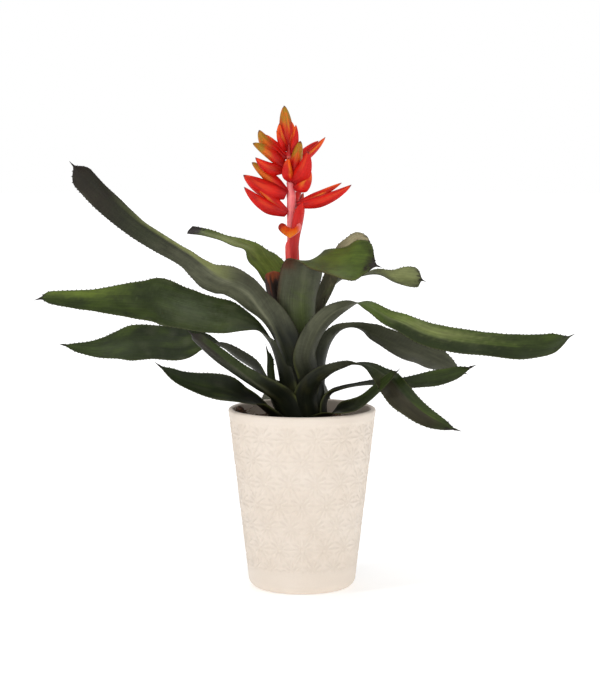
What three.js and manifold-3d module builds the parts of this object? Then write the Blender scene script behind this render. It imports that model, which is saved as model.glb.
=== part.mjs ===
// A potted aechmea: a bromeliad in flower in a tapered ceramic pot.
// Millimetres, +Z up, +X to the viewer's right, the viewer on the -Y side.
// The origin is the middle of the pot's underside.
import * as THREE from "three";
import { mergeVertices } from "three/addons/utils/BufferGeometryUtils.js";
import Module from "manifold-3d";

const wasm = await Module();
wasm.setup();

// Driving dimensions of the pot and the soil
const POT_HEIGHT = 142;
const POT_RIM_RADIUS = 58;
const POT_HEEL_RADIUS = 42.5;
const POT_HEEL_HEIGHT = 9;
const POT_FOOT_RADIUS = 34.6;
const POT_WALL = 4;
const POT_FLOOR = 7;
const POT_SIDES = 56;
// Degrees at which the rounded heel and the rounded rim have their points
const HEEL_ARC = [0, 30, 60, 90];
const RIM_ARC = [0, 45, 90, 135, 180];
const SOIL_TOP = 131.5;
const SOIL_SIDES = 40;
const SOIL_RINGS = [50, 44, 37, 30, 20, 0];
const SOIL_SHOULDER = 1;
// Waves that roughen the soil's top: the turn in radians per millimetre along x and y, and the phase
const SOIL_WAVES = [[0.42, 0.37, 1], [0.42, -0.37, 1], [0.9, 0.7, 0]];
const SOIL_WAVE_HEIGHT = 0.55;
// A small heap of coir against the rim at the left
const HEAP = { x: -49, y: 9, height: 11.5, radius: 7 };

// Clear gap between two pieces that touch
const GAP = 0.35;

// Short stem that the leaves grow from: a cone on a foot in the soil
const STEM_TOP_Z = 149;
const STEM_TOP_RADIUS = 6.6;
const STEM_RIM_Z = 130;
const STEM_RIM_RADIUS = 25.5;
const STEM_RIM_HEIGHT = 6;
const STEM_FOOT_Z = 116;
const STEM_FOOT_RADIUS = 14;
const STEM_SIDES = 32;

// Blades: their thickness, the columns across each, and the spines along the margins and at the tip
const RIB_THICKNESS = 1;
const MARGIN_THICKNESS = 0.7;
const COLUMNS = 4;
const SPINE_SPACING = 16;
const SPINE_FOOT = 3;
const SPINE_HEIGHT = 1.6;
const SPINE_RADIUS = 0.9;
const SPINE_POINT = 0.2;
const LEAST_SPINES = 4;
const SHEATH_LENGTH = 45;

// Flower stalk: points of its axis from the cup to the tip of the spike, with the radius there
const STALK = [
  [0, 0, 141, 3.7], [-3, 0, 185, 3.7], [-6.6, 0, 235, 3.7], [-8.1, 0, 274, 3.6], [-8.4, 0, 300, 3.5],
  [-8.7, 0, 322, 3.2], [-9.6, 0, 340, 2.6], [-10.6, 0, 352, 1.8],
];
const STALK_SIDES = 10;

const POT_CREAM = 0xe9dfcf;
const SOIL_BROWN = 0x4a3324;
const LEAF_GREEN = 0x4a5f33;
const SHEATH_GREY = 0x565f50;
const STALK_PINK = 0xd4626a;
const BRACT_RED = 0xd8301a;
const BRACT_ORANGE = 0xe0542a;
const WRAP_RED = 0xa8242a;
const DRY_BROWN = 0x7a3a1c;
const DRY_STRAW = 0x9a9068;

// Each leaf from the heart outwards. A station is the midrib's point x, y, z, then the blade's width,
// the roll about the midrib and the half angle of its channel, in millimetres and degrees.
// The heading is the side of the plant that the sheath faces. The tip is rounded over its last length.
const LEAVES = [
  {
    name: "leaf_dry_curl", heading: 0, tip: 5, spine: 0, keel: 2, color: DRY_STRAW,
    stations: [
      [1.5, 6.3, 145, 8, 70, 50], [2.6, 6.6, 180, 9, 70, 50], [9, 8, 212, 12, 70, 50],
      [20, 11, 236, 13, 66, 36], [32, 8, 265, 12, 66, 30], [37, 5, 271, 10, 70, 30],
      [43, 2, 276, 8.5, 78, 30], [48, -1, 275, 7, 84, 30], [53, -3, 272, 5.5, 88, 30],
    ],
  },
  {
    name: "leaf_back_left_short", heading: 125, tip: 2, spine: 0, keel: 4,
    stations: [
      [-5.3, 7.6, 144, 34, 0, 105], [-5.6, 8, 175, 34, 0, 99], [-9, 13, 205, 34, 0, 70],
      [-14.5, 17, 225.5, 34, 0, 50], [-27, 20, 248, 31, 0, 40], [-34, 23, 256, 26, -8, 35],
      [-40, 27, 264, 16.5, -14, 35], [-50, 31, 268, 12, -18, 35], [-61, 36, 272, 9, -20, 30],
      [-76, 42, 276, 9.5, -25, 25], [-91, 49, 278, 11, -30, 20],
    ],
  },
  {
    name: "leaf_front_fold", heading: -65, tip: 9, spine: 5, keel: 3,
    stations: [
      [0.9, -10.4, 143, 36, 10, 98], [1, -11.5, 170, 36, 5, 82], [1, -14, 200, 38, 0, 66],
      [-1, -20, 229, 38, 0, 44], [1, -22, 244, 38.5, 0, 32], [2, -23, 252, 38, 2, 26],
      [4, -26, 259, 36, 8, 22], [11, -33, 261, 30, 20, 18], [20, -44, 260, 28, 34, 15],
      [30, -55, 261, 31.5, 47, 14], [39, -63, 262, 35, 58, 14], [47, -70, 262, 32, 62, 14],
      [53, -76, 261, 18, 62, 16], [60, -80, 259, 9, 62, 18],
    ],
  },
  {
    name: "leaf_back_right", heading: 35, tip: 6, spine: 4, keel: 3,
    stations: [
      [9.5, 6.7, 143, 34, 0, 84], [10, 7, 180, 30, 0, 70], [14, 13, 212, 25, 0, 50],
      [15, 19, 224, 23, -4, 40], [22, 24, 234, 23, -8, 32], [32, 30, 241, 17, -8, 26],
      [42, 36, 242, 10, 0, 26], [54, 41, 244, 8, 12, 26], [63, 45, 244, 9, 35, 20],
      [74, 50, 241, 12.5, 60, 14], [85, 55, 240, 18, 62, 14], [93, 59, 239, 17.5, 62, 14],
      [100, 62, 236, 12, 62, 14],
    ],
  },
  {
    name: "leaf_long_left", heading: 228, tip: 12, spine: 5, keel: 12,
    stations: [
      [-8.8, -9.8, 141, 40, 0, 87], [-10, -12.5, 170, 38, 0, 73], [-18, -24, 198, 34, 4, 50],
      [-24, -29.5, 211, 31, 12, 40], [-32, -35, 222.5, 31, 26, 34], [-41, -40.5, 235, 31, 40, 28],
      [-50, -45, 241.5, 31, 46, 24], [-58, -49, 244, 32, 50, 22], [-67, -53, 248, 28, 53, 22],
      [-76, -57, 255, 22, 57, 22], [-85, -61, 263, 18, 60, 22], [-94, -64, 269, 17, 64, 22],
      [-106, -69, 277, 18, 68, 20], [-123, -75, 289, 19, 72, 20], [-149, -84, 312, 20, 76, 20],
      [-162, -88, 327, 20, 78, 20], [-173, -90, 339, 20, 80, 20],
    ],
  },
  {
    name: "leaf_long_right", heading: -50, tip: 14, spine: 5, keel: 5,
    stations: [
      [9.2, -11, 139, 32, 0, 64], [9.9, -12.6, 168, 28, 0, 50], [5, -20, 184, 25, -4, 46],
      [8, -24, 198, 22, -10, 38], [14, -29, 210, 19, -20, 28], [22, -34, 219, 17, -26, 20],
      [33, -40, 226, 15, -18, 14], [44, -46, 229, 12, 0, 12], [54, -51, 225, 12, 24, 14],
      [65, -57, 219, 13, 38, 14], [77, -62, 215, 15, 46, 14], [93, -69, 208, 18, 52, 14],
      [115, -78, 204, 19, 56, 14], [140, -88, 202, 18, 58, 14], [166, -97, 201, 19, 60, 14],
      [188, -103, 204, 18, 60, 14], [203, -106, 212, 16, 60, 14],
    ],
  },
  {
    name: "leaf_back_high", heading: 95, tip: 14, spine: 5, keel: 4,
    stations: [
      [-1.2, 13.5, 140, 36, 0, 76], [-1.3, 14.9, 175, 34, 0, 65], [-2, 22, 205, 30, 0, 40],
      [-3, 38, 226, 28, 0, 28], [-3, 60, 232, 28, 0, 22], [-4, 84, 224, 27, 0, 20],
      [-5, 108, 204, 24, 0, 25], [-6, 127, 178, 17, 0, 25], [-7, 138, 154, 11, 0, 25],
    ],
  },
  {
    name: "leaf_wide_left", heading: 200, tip: 8, spine: 5, keel: 5,
    stations: [
      [-15.2, -5.5, 136, 36, 0, 64], [-17, -6, 165, 32, 0, 55], [-23, -10, 190, 22, 0, 40],
      [-29, -13, 200, 16, -14, 30], [-37, -17, 208, 17, -32, 24], [-46, -21, 212, 23, -46, 20],
      [-56, -25, 215, 29, -56, 16], [-70, -30, 217, 32, -60, 14], [-92, -38, 223, 36, -63, 14],
      [-110, -45, 229, 39, -65, 14], [-119, -49, 230, 34, -66, 14], [-133, -54, 231, 28, -68, 14],
      [-156, -60, 232, 18.5, -70, 14], [-183, -65, 234, 12.5, -70, 14], [-195, -66, 235, 9, -70, 14],
      [-203, -66, 233, 8, -70, 14],
    ],
  },
  {
    name: "leaf_right_second", heading: -20, tip: 14, spine: 5, keel: 5,
    stations: [
      [15.7, -5.7, 136, 34, 0, 58], [17.1, -6.2, 165, 30, 0, 47], [16, -7, 182, 22, -22, 40],
      [20, -8, 195, 17, -26, 32], [28, -9, 204, 14, -24, 26], [37, -10, 207, 12, -22, 22],
      [46, -10, 206, 14, -36, 20], [55, -10, 202, 19, -54, 16], [67, -8, 196, 22, -62, 14],
      [79, -6, 190, 24, -66, 14], [92, -4, 185, 25.5, -66, 14], [105, -2, 179, 23, -66, 14],
      [119, 0, 172, 13, -66, 14], [131, 2, 168, 6, -66, 14],
    ],
  },
  {
    name: "leaf_left_second", heading: 180, tip: 14, spine: 5, keel: 4,
    stations: [
      [-18.3, 0, 134, 32, 0, 50], [-20, 0, 150, 26, 0, 37], [-31, 0, 165, 18, 10, 34],
      [-39, 1, 175, 15, 36, 28], [-49, 4, 182, 13, 44, 22], [-62, 8, 189, 13, 26, 18],
      [-77, 13, 191, 20, -36, 14], [-94, 19, 189, 28, -60, 14], [-117, 28, 190, 28.5, -66, 12],
      [-135, 33, 189, 29.5, -68, 12], [-147, 37, 187, 23, -68, 12], [-162, 42, 184, 16, -68, 12],
      [-178, 46, 184, 9, -68, 12], [-196, 50, 187, 6, -68, 12],
    ],
  },
  {
    name: "leaf_left_front_short", heading: 236, tip: 7, spine: 5, keel: 14,
    stations: [
      [-9.6, -16.6, 132, 32, 0, 48], [-20, -21, 150, 30, 4, 46], [-30, -30, 159, 25, 14, 40],
      [-39, -39, 167, 19, 22, 36], [-49, -49, 176, 17, 28, 36], [-59, -60, 185, 17, 30, 36],
      [-70, -71, 196, 14, 32, 36], [-78, -79, 204, 11, 32, 36], [-86, -84, 212, 9, 32, 36],
    ],
  },
  {
    name: "leaf_right_third", heading: -66, tip: 10, spine: 5, keel: 12,
    stations: [
      [7.6, -17, 133, 32, 0, 49], [5, -22, 153, 25, -4, 46], [8, -27, 163, 19, -10, 36],
      [16, -33, 172, 15, -18, 26], [27, -40, 178, 12, -18, 20], [40, -47, 182, 10, -10, 16],
      [51, -54, 180, 12, 2, 16], [59, -59, 175, 15, 16, 18], [67, -64, 169, 20, 30, 20],
      [74, -69, 161, 22, 38, 22], [82, -74, 154, 19, 40, 24], [90, -78, 148, 16.5, 40, 24],
      [99, -81, 143, 13, 40, 24], [109, -85, 139, 8, 40, 24], [120, -88, 136, 5, 40, 24],
    ],
  },
  {
    name: "leaf_back_low", heading: 88, tip: 14, spine: 5, keel: 4,
    stations: [
      [0.7, 19.6, 132, 34, 0, 50], [1, 27, 154, 30, 0, 36], [1, 42, 166, 28, 0, 26],
      [0, 64, 170, 28, 0, 22], [-1, 90, 164, 26, 0, 20], [-2, 114, 148, 21, 0, 25],
      [-2, 130, 128, 14, 0, 25],
    ],
  },
  {
    name: "leaf_back_low_right", heading: 80, tip: 14, spine: 5, keel: 4,
    stations: [
      [3.6, 20.3, 132, 30, 0, 42], [5, 30, 146, 26, 0, 36], [7, 46, 152, 23, 0, 26],
      [9, 62, 147, 23, 0, 22], [12, 80, 136, 23, 0, 20], [15, 100, 119, 20, 0, 22],
      [18, 117, 98, 13, 0, 25], [19, 126, 80, 8, 0, 25],
    ],
  },
  {
    name: "leaf_back_low_left", heading: 102, tip: 14, spine: 5, keel: 4,
    stations: [
      [-5.2, 20.8, 132, 30, 0, 40], [-7, 31, 147, 26, 0, 36], [-10, 46, 155, 24, 0, 26],
      [-14, 64, 152, 25, 0, 22], [-19, 84, 140, 25, 0, 20], [-26, 104, 121, 22, 0, 22],
      [-31, 118, 101, 15, 0, 25], [-34, 127, 82, 8, 0, 25],
    ],
  },
  {
    name: "leaf_right_fourth", heading: 2, tip: 14, spine: 5, keel: 4,
    stations: [
      [19.8, 0.7, 133, 28, 0, 40], [19.6, -1, 147, 22, -6, 40], [23, 0, 153, 16, -6, 34],
      [31, -3, 157, 12, 0, 28], [41, -7, 160, 9.5, 6, 22], [58, -13, 163, 9, 22, 20],
      [70, -17, 163, 9, 38, 18], [81, -20, 164, 10, 50, 16], [102, -26, 168, 13.5, 58, 14],
      [114, -29, 171, 12, 58, 14], [124, -31, 175, 9.5, 58, 14], [135, -33, 180, 6, 58, 14],
    ],
  },
  {
    name: "leaf_left_low", heading: 198, tip: 14, spine: 5, keel: 4,
    stations: [
      [-20.7, -7.5, 132, 30, 0, 39], [-35, -12, 146, 26, -10, 40], [-45, -19, 152, 27, -26, 28],
      [-56, -25, 158, 27, -42, 22], [-69, -31, 162, 23, -56, 16], [-83, -37, 166, 17, -60, 14],
      [-95, -43, 171, 12, -60, 14], [-104, -47, 177, 8, -60, 14], [-113, -50, 184, 4, -60, 14],
    ],
  },
  {
    name: "leaf_right_front_short", heading: -42, tip: 6, spine: 5, keel: 4,
    stations: [
      [16, -13.5, 133, 28, 0, 38], [25, -26, 141, 26, 14, 40], [36, -37, 146, 20, 32, 28],
      [45, -47, 151, 17, 44, 22], [54, -58, 160, 15, 50, 18], [62, -68, 169, 13, 52, 18],
      [69, -76, 177, 10, 52, 18], [74, -81, 183, 8, 52, 18],
    ],
  },
  {
    name: "leaf_small_shoot", heading: 150, tip: 10, spine: 5, keel: 10,
    stations: [
      [-16.5, 13.8, 132, 15, 0, 25], [-24, 18, 146, 14, 0, 50], [-27, 21, 168, 12, 0, 40],
      [-27, 23, 179, 10, 0, 40], [-29, 25, 190, 6, 0, 40],
    ],
  },
];

// Bracts on the flower stalk below the spike, in the same terms as the leaves
const STALK_BRACTS = [
  {
    name: "bract_wrap", heading: -100, tip: 9, spine: 0, keel: 0, color: WRAP_RED, across: 8,
    stations: [
      [-6.1, -5.1, 216, 27, 0, 150], [-7.7, -5.1, 240, 27, 0, 150], [-8.5, -5.1, 262, 26, 0, 145],
      [-9, -5.2, 277, 14, 0, 80],
    ],
  },
  {
    name: "bract_curl", heading: -96, tip: 4, spine: 0, keel: 0, color: BRACT_ORANGE,
    stations: [
      [-8.3, -4.9, 283.5, 12, 0, 70], [-8.7, -8, 282.5, 20, 0, 80], [-9, -11.5, 280.5, 24, 0, 78],
      [-9.3, -14.3, 278.3, 22, 0, 66], [-9.5, -16, 276.8, 18, 0, 50],
    ],
  },
  {
    name: "bract_strap", heading: -50, tip: 6, spine: 0, keel: 0, color: BRACT_RED,
    stations: [
      [-5.4, -5.9, 258, 7, 0, 40], [-5, -5.9, 266, 9, 0, 44], [-4.3, -5.6, 276, 10.5, 0, 46],
      [-2.2, -5, 287, 12, 0, 48], [-0.6, -4.3, 296, 11, 0, 46], [0.8, -3.4, 304, 6, 0, 40],
    ],
  },
  {
    name: "bract_brown", heading: -108, tip: 3, spine: 0, keel: 0, color: DRY_BROWN,
    stations: [
      [-9, -3.6, 196, 12, 0, 60], [-15, -6, 216, 16, 0, 46], [-20, -8, 234, 19, 0, 36],
      [-21.6, -9, 243, 18, 0, 32], [-22.4, -9.6, 250.5, 15, 0, 30],
    ],
  },
];

// The spike's sprays of bracts: the root on the stalk, then for each bract its tip x, y, z, its width,
// its bow outwards and the side that its keel faces, in degrees from straight down
const SPRAYS = [
  {
    name: "spray_lower_left", root: [-11.8, -2, 295.5],
    bracts: [[-45, -10, 316, 13.5, 2.4, 0], [-36, -6, 316.3, 10, -1, 170]],
  },
  {
    name: "spray_lower_right", root: [-3.8, 0, 302],
    bracts: [[38.4, -6, 317.5, 12.5, 2.5, 0], [31, -2, 318.8, 8, -1.5, 175]],
  },
  {
    name: "spray_behind", root: [-7.4, 4, 300],
    bracts: [[1.1, 26, 309.5, 12, 2, 0], [0, 22, 313, 9, 1, 180]],
  },
  {
    name: "spray_left", root: [-12, -1.5, 310.5],
    bracts: [[-45.7, -4, 325, 19, 1, 0], [-39.2, 2, 334.5, 12, -1, 180]],
  },
  {
    name: "spray_right_round", root: [-5.4, -3, 314.6],
    bracts: [[6.8, -14, 329, 14, 3, 0], [4, -9, 329.5, 11, 1, 160]],
  },
  {
    name: "spray_front", root: [-8, -4.6, 321],
    bracts: [[4.7, -20, 344, 18, 3, 20], [-10.6, -14, 339, 14, 2, -30], [-1.2, -13, 351.6, 16, 1, 180]],
  },
  {
    name: "spray_upper_left", root: [-12.4, -1, 329.5],
    bracts: [[-36.3, -8, 338.7, 13, 2.5, 0], [-38.3, -4, 349.6, 12, 0.5, 175]],
  },
  {
    name: "spray_behind_high", root: [-8, 4, 320],
    bracts: [[-3.2, 26, 337, 12, 2, 0], [-5, 20, 341, 10, 1, 180]],
  },
  {
    name: "spray_upper_right", root: [-6, 1.5, 334],
    bracts: [[18.2, 8, 354, 8.5, 1, 0], [13, 9, 351, 7, 0.5, 175]],
  },
  {
    name: "spray_top_left", root: [-12.2, 0.5, 337.5],
    bracts: [[-33.6, 4, 359.6, 15, 2, 0], [-28.5, 5, 356, 10, -1, 175]],
  },
  { name: "spray_top_small", root: [-12.4, -2.4, 344], bracts: [[-19.8, -9, 359.5, 7.5, 1, 30]] },
  { name: "spray_top_right", root: [-8, -2.6, 342], bracts: [[-4.8, -9, 364, 9.5, 1, 40]] },
  {
    name: "spray_tip", root: [-10.8, 0, 345],
    bracts: [
      [-14.1, 0, 378.7, 10, 0.3, 90], [-14.1, 0.5, 378, 10, 0.3, -90], [-17.6, -3, 365, 10, 1.2, -75],
      [-9.3, 2, 367.5, 10, 1.2, 80],
    ],
  },
];

// A bract of the spike: [place along it, fullness there] and the sides of a cross-section. It is
// slim across, deep on the keel's side and shallower on the open side, as shares of half its width.
const BRACT_PROFILE = [[0, 0.5], [0.12, 0.69], [0.3, 0.91], [0.5, 0.89], [0.7, 0.7], [0.88, 0.41], [1, 0.05]];
const BRACT_SIDES = 8;
const BRACT_SLIMNESS = 0.62;
const BRACT_OPEN_DEPTH = 0.55;
// How steeply a bract has to rise for its keel to face the viewer
const BRACT_UPRIGHT = 0.9;
// The room round a bract's flat sides, as a share of the gap that its corners need
const BRACT_ROOM = 1.3;

// Points of a turned body that lie closer together than this are one
const WELD = 1e-4;

const rad = THREE.MathUtils.degToRad;

// A closed solid from its points and its triangles
function solidOf(points, triangles) {
  const vertProperties = new Float32Array(points.flatMap((p) => p.toArray()));
  const triVerts = new Uint32Array(triangles.flat());
  return new wasm.Manifold(new wasm.Mesh({ numProp: 3, vertProperties, triVerts }));
}

// A body of revolution about Z from its profile of [radius, height] points, closed on the axis
function turned(profile, sides) {
  const points = profile.map(([r, z]) => new THREE.Vector2(r, z));
  return new THREE.LatheGeometry(points, sides).rotateX(Math.PI / 2);
}

function solidOfGeometry(geometry) {
  geometry.deleteAttribute("normal");
  geometry.deleteAttribute("uv");
  const { attributes, index } = mergeVertices(geometry, WELD);
  const vertProperties = attributes.position.array;
  const triVerts = new Uint32Array(index.array);
  return new wasm.Manifold(new wasm.Mesh({ numProp: 3, vertProperties, triVerts }));
}

// A closed body through rings of points that all go round the same way, with an even number in each.
// Where peak gives a point, the face between two rings rises to it.
function lofted(rings, peak = () => null) {
  const count = rings[0].length;
  const points = rings.flat();
  const triangles = [];
  for (let i = 0; i + 1 < rings.length; i++) {
    for (let k = 0; k < count; k++) {
      const a = i * count + k;
      const b = i * count + ((k + 1) % count);
      const [c, d] = [b + count, a + count];
      const summit = peak(i, k);
      if (summit) {
        const top = points.push(summit) - 1;
        triangles.push([a, b, top], [b, c, top], [c, d, top], [d, a, top]);
      } else if (k < count / 2) {
        triangles.push([a, b, c], [a, c, d]);
      } else {
        triangles.push([a, b, d], [b, c, d]);
      }
    }
  }
  const last = (rings.length - 1) * count;
  for (let a = 0; a + 1 < count / 2; a++) {
    const [b, c, d] = [a + 1, count - 2 - a, count - 1 - a];
    triangles.push([a, c, b], [a, d, c]);
    triangles.push([last + a, last + b, last + c], [last + a, last + c, last + d]);
  }
  return solidOf(points, triangles);
}

// The midrib's curve, and the blade's width, roll and channel along it
function bladeCurves(leaf) {
  const path = new THREE.CatmullRomCurve3(leaf.stations.map(([x, y, z]) => new THREE.Vector3(x, y, z)));
  const sizes = leaf.stations.map(([, , , width, roll, cup]) => new THREE.Vector3(width, roll, cup));
  const shape = new THREE.CatmullRomCurve3(sizes, false, "catmullrom", 0.5);
  return { path, shape, length: path.getLength() };
}

// The midrib's point at a fraction of its length, with the directions along, across and up from the
// blade there, its width and its channel
function bladeFrame(leaf, { path, shape }, place) {
  const tangent = path.getTangentAt(place);
  const heading = rad(leaf.heading);
  const side = new THREE.Vector3(-Math.sin(heading), Math.cos(heading), 0);
  side.addScaledVector(tangent, -tangent.dot(side)).normalize();
  const [width, roll, cup] = shape.getPoint(path.getUtoTmapping(place)).toArray();
  side.applyAxisAngle(tangent, rad(roll));
  const up = tangent.clone().cross(side);
  return { point: path.getPointAt(place), tangent, side, up, width, cup: rad(cup) };
}

// Half the blade's width at a distance from its end: rounded off at the tip, with a spine beyond it
function halfWidth(leaf, width, left) {
  const round = THREE.MathUtils.clamp((left - leaf.spine) / leaf.tip, 0, 1);
  const point = leaf.spine ? THREE.MathUtils.clamp(left / leaf.spine, SPINE_POINT, 1) : 1;
  return Math.max((width / 2) * (1 - (1 - round) ** 2), SPINE_RADIUS * point);
}

// A cross-section of the blade: its upper face from one margin to the other, then its lower face back
function bladeRing(leaf, curves, place, extra) {
  const { point, tangent, side, up, width, cup } = bladeFrame(leaf, curves, place);
  const half = halfWidth(leaf, width, curves.length * (1 - place));
  const across = leaf.across ?? COLUMNS;
  const keel = rad(leaf.keel);
  if (place === 0) point.addScaledVector(tangent, -extra);
  if (place === 1) point.addScaledVector(tangent, extra);
  const faces = [1, -1].map((face) => Array.from({ length: across + 1 }, (_, k) => {
    const s = face * (1 - (2 * k) / across);
    const turn = keel + cup * Math.abs(s);
    const lean = s === 0 ? 0 : turn * Math.sign(s);
    const beyond = Math.abs(s) === 1 ? extra : 0;
    const reach = (half * (Math.sin(turn) - Math.sin(keel))) / cup + beyond * Math.cos(turn);
    const out = reach * Math.sign(s);
    const rise = (half * (Math.cos(keel) - Math.cos(turn))) / cup + beyond * Math.sin(turn);
    const thick = face * (THREE.MathUtils.lerp(RIB_THICKNESS, MARGIN_THICKNESS, Math.abs(s)) / 2 + extra);
    return point.clone()
      .addScaledVector(side, out - Math.sin(lean) * thick)
      .addScaledVector(up, rise + Math.cos(lean) * thick);
  }));
  return faces.flat();
}

// Cross-sections stand close together at the foot of each marginal spine
function bladePlaces(length, extra) {
  const spines = Math.max(LEAST_SPINES, Math.round(length / SPINE_SPACING));
  const foot = SPINE_FOOT / SPINE_SPACING;
  const wider = extra / length;
  const feet = Array.from({ length: spines - 1 }, (_, i) => [i + 1 - foot, i + 1].map((at) => at / spines));
  return [0, ...feet.flatMap(([from, to]) => [from - wider, to + wider]), 1];
}

// A leaf or a strap-like bract: a channelled blade, with spines along both margins if it is spiny.
// Extra size all round makes the room that the blade needs.
function blade(leaf, spiny, extra = 0) {
  const curves = bladeCurves(leaf);
  const rings = bladePlaces(curves.length, extra).map((place) => bladeRing(leaf, curves, place, extra));
  const count = rings[0].length;
  const height = SPINE_HEIGHT + 2 * extra;
  const spine = (i, k) => {
    const margins = [count / 2 - 1, count - 1];
    const foot = i % 2 === 1 && i * SPINE_SPACING > 2 * SHEATH_LENGTH;
    if (!spiny || !foot || !margins.includes(k)) return null;
    const [inner, outer] = k === margins[0] ? [k - 1, k] : [1, 0];
    const outward = rings[i][outer].clone().sub(rings[i][inner]).normalize();
    const tip = rings[i + 1][k].clone().lerp(rings[i + 1][(k + 1) % count], 0.5);
    return tip.addScaledVector(outward, height);
  };
  return lofted(rings, spine);
}

// One boat-shaped bract of the spike, keeled on its back and pointed
function boat(root, [x, y, z, width, bow, turn], extra) {
  const start = new THREE.Vector3(...root);
  const axis = new THREE.Vector3(x, y, z).sub(start);
  const length = axis.length();
  axis.normalize();
  const back = axis.z > BRACT_UPRIGHT ? new THREE.Vector3(0, -1, 0) : new THREE.Vector3(0, 0, -1);
  back.addScaledVector(axis, -axis.dot(back)).normalize().applyAxisAngle(axis, rad(turn));
  const side = axis.clone().cross(back);
  const room = BRACT_ROOM * extra;
  return lofted(BRACT_PROFILE.map(([place, full]) => {
    const half = (width / 2) * full;
    const end = place === 0 ? -extra : place === 1 ? extra : 0;
    const middle = start.clone().addScaledVector(axis, length * place + end);
    middle.addScaledVector(back, 4 * bow * place * (1 - place));
    return Array.from({ length: BRACT_SIDES }, (_, k) => {
      const a = Math.PI * ((2 * k) / BRACT_SIDES - 1);
      const depth = Math.cos(a) > 0 ? half : half * BRACT_OPEN_DEPTH;
      return middle.clone()
        .addScaledVector(side, (half * BRACT_SLIMNESS + room) * Math.sin(a))
        .addScaledVector(back, (depth + room) * Math.cos(a));
    });
  }));
}

function spray({ root, bracts }, extra = 0) {
  return bracts.map((bract) => boat(root, bract, extra)).reduce((all, one) => all.add(one));
}

function flowerStalk(extra = 0) {
  return lofted(STALK.map(([x, y, z, radius], i) => {
    const end = i === 0 ? -extra : i === STALK.length - 1 ? extra : 0;
    return Array.from({ length: STALK_SIDES }, (_, k) => {
      const a = (2 * Math.PI * k) / STALK_SIDES;
      const r = radius + extra;
      return new THREE.Vector3(x + r * Math.cos(a), y + r * Math.sin(a), z + end);
    });
  }));
}

function shortStem(extra = 0) {
  const rim = STEM_RIM_RADIUS + extra;
  return solidOfGeometry(turned([
    [0, STEM_FOOT_Z - extra], [STEM_FOOT_RADIUS + extra, STEM_FOOT_Z - extra],
    [rim, STEM_RIM_Z - STEM_RIM_HEIGHT], [rim, STEM_RIM_Z + extra],
    [STEM_TOP_RADIUS + extra, STEM_TOP_Z + extra], [0, STEM_TOP_Z + extra],
  ], STEM_SIDES));
}

// The pot's inner radius at a height
function potInside(z) {
  const up = (z - POT_HEEL_HEIGHT) / (POT_HEIGHT - POT_HEEL_HEIGHT);
  return THREE.MathUtils.lerp(POT_HEEL_RADIUS, POT_RIM_RADIUS, up) - POT_WALL;
}

function pot() {
  const heel = HEEL_ARC.map((a) => [
    POT_FOOT_RADIUS + (POT_HEEL_RADIUS - POT_FOOT_RADIUS) * Math.sin(rad(a)),
    POT_HEEL_HEIGHT * (1 - Math.cos(rad(a))),
  ]);
  const lip = POT_WALL / 2;
  const rim = RIM_ARC.map((a) => [
    POT_RIM_RADIUS - lip + lip * Math.cos(rad(a)),
    POT_HEIGHT - lip + lip * Math.sin(rad(a)),
  ]);
  const floor = [[potInside(POT_FLOOR), POT_FLOOR], [0, POT_FLOOR]];
  return solidOfGeometry(turned([[0, 0], ...heel, ...rim, ...floor], POT_SIDES));
}

// How far the soil's top rises at a place
function soilRise(x, y) {
  const waves = SOIL_WAVES.map(([turnX, turnY, phase]) => Math.sin(turnX * x + turnY * y + phase));
  const rough = waves.reduce((sum, wave) => sum + wave);
  const heap = HEAP.height * Math.exp(-(((x - HEAP.x) ** 2 + (y - HEAP.y) ** 2) / HEAP.radius ** 2));
  return SOIL_WAVE_HEIGHT * rough + heap;
}

// The soil fills the pot to a slightly rough top and leaves a plain hole for the short stem
function soil() {
  const bottom = POT_FLOOR + GAP;
  const edge = SOIL_TOP - SOIL_SHOULDER;
  const top = SOIL_RINGS.map((r) => [r, SOIL_TOP]);
  const geometry = turned([
    [0, bottom], [potInside(bottom) - GAP, bottom], [potInside(edge) - GAP, edge], ...top,
  ], SOIL_SIDES);
  const position = geometry.attributes.position;
  for (let i = 0; i < position.count; i++) {
    const [x, y, z] = new THREE.Vector3().fromBufferAttribute(position, i).toArray();
    if (z > edge) position.setZ(i, z + soilRise(x, y));
  }
  return solidOfGeometry(geometry).subtract(shortStem(GAP));
}

function largest(solid) {
  return solid.decompose().reduce((a, b) => (b.volume() > a.volume() ? b : a));
}

// The plant's pieces from the heart outwards: each with its solid and the room that it needs
function growing() {
  const bladed = (list, spiny) => list.map((leaf) => ({
    name: leaf.name,
    solid: blade(leaf, spiny),
    room: blade(leaf, spiny, GAP),
    color: leaf.color ?? LEAF_GREEN,
  }));
  const sprays = SPRAYS.map((one) => ({
    name: one.name,
    solid: spray(one),
    room: spray(one, GAP),
    color: BRACT_RED,
  }));
  return [...bladed(STALK_BRACTS, false), ...bladed(LEAVES, true), ...sprays];
}

// Each piece is trimmed clear of the ones inside it. The stalk stands in a hole in the short stem.
function plant() {
  const stem = { name: "short_stem", solid: shortStem().subtract(flowerStalk(GAP)), room: shortStem(GAP) };
  const stalk = { name: "flower_stalk", solid: flowerStalk(), room: flowerStalk(GAP) };
  const pieces = [{ ...stem, color: SHEATH_GREY }, { ...stalk, color: STALK_PINK }];
  for (const piece of growing()) {
    const close = pieces.filter(({ room }) => piece.solid.intersect(room).volume() > 0);
    const solid = close.reduce((left, { room }) => largest(left.subtract(room)), piece.solid);
    pieces.push({ ...piece, solid });
  }
  return pieces;
}

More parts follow.
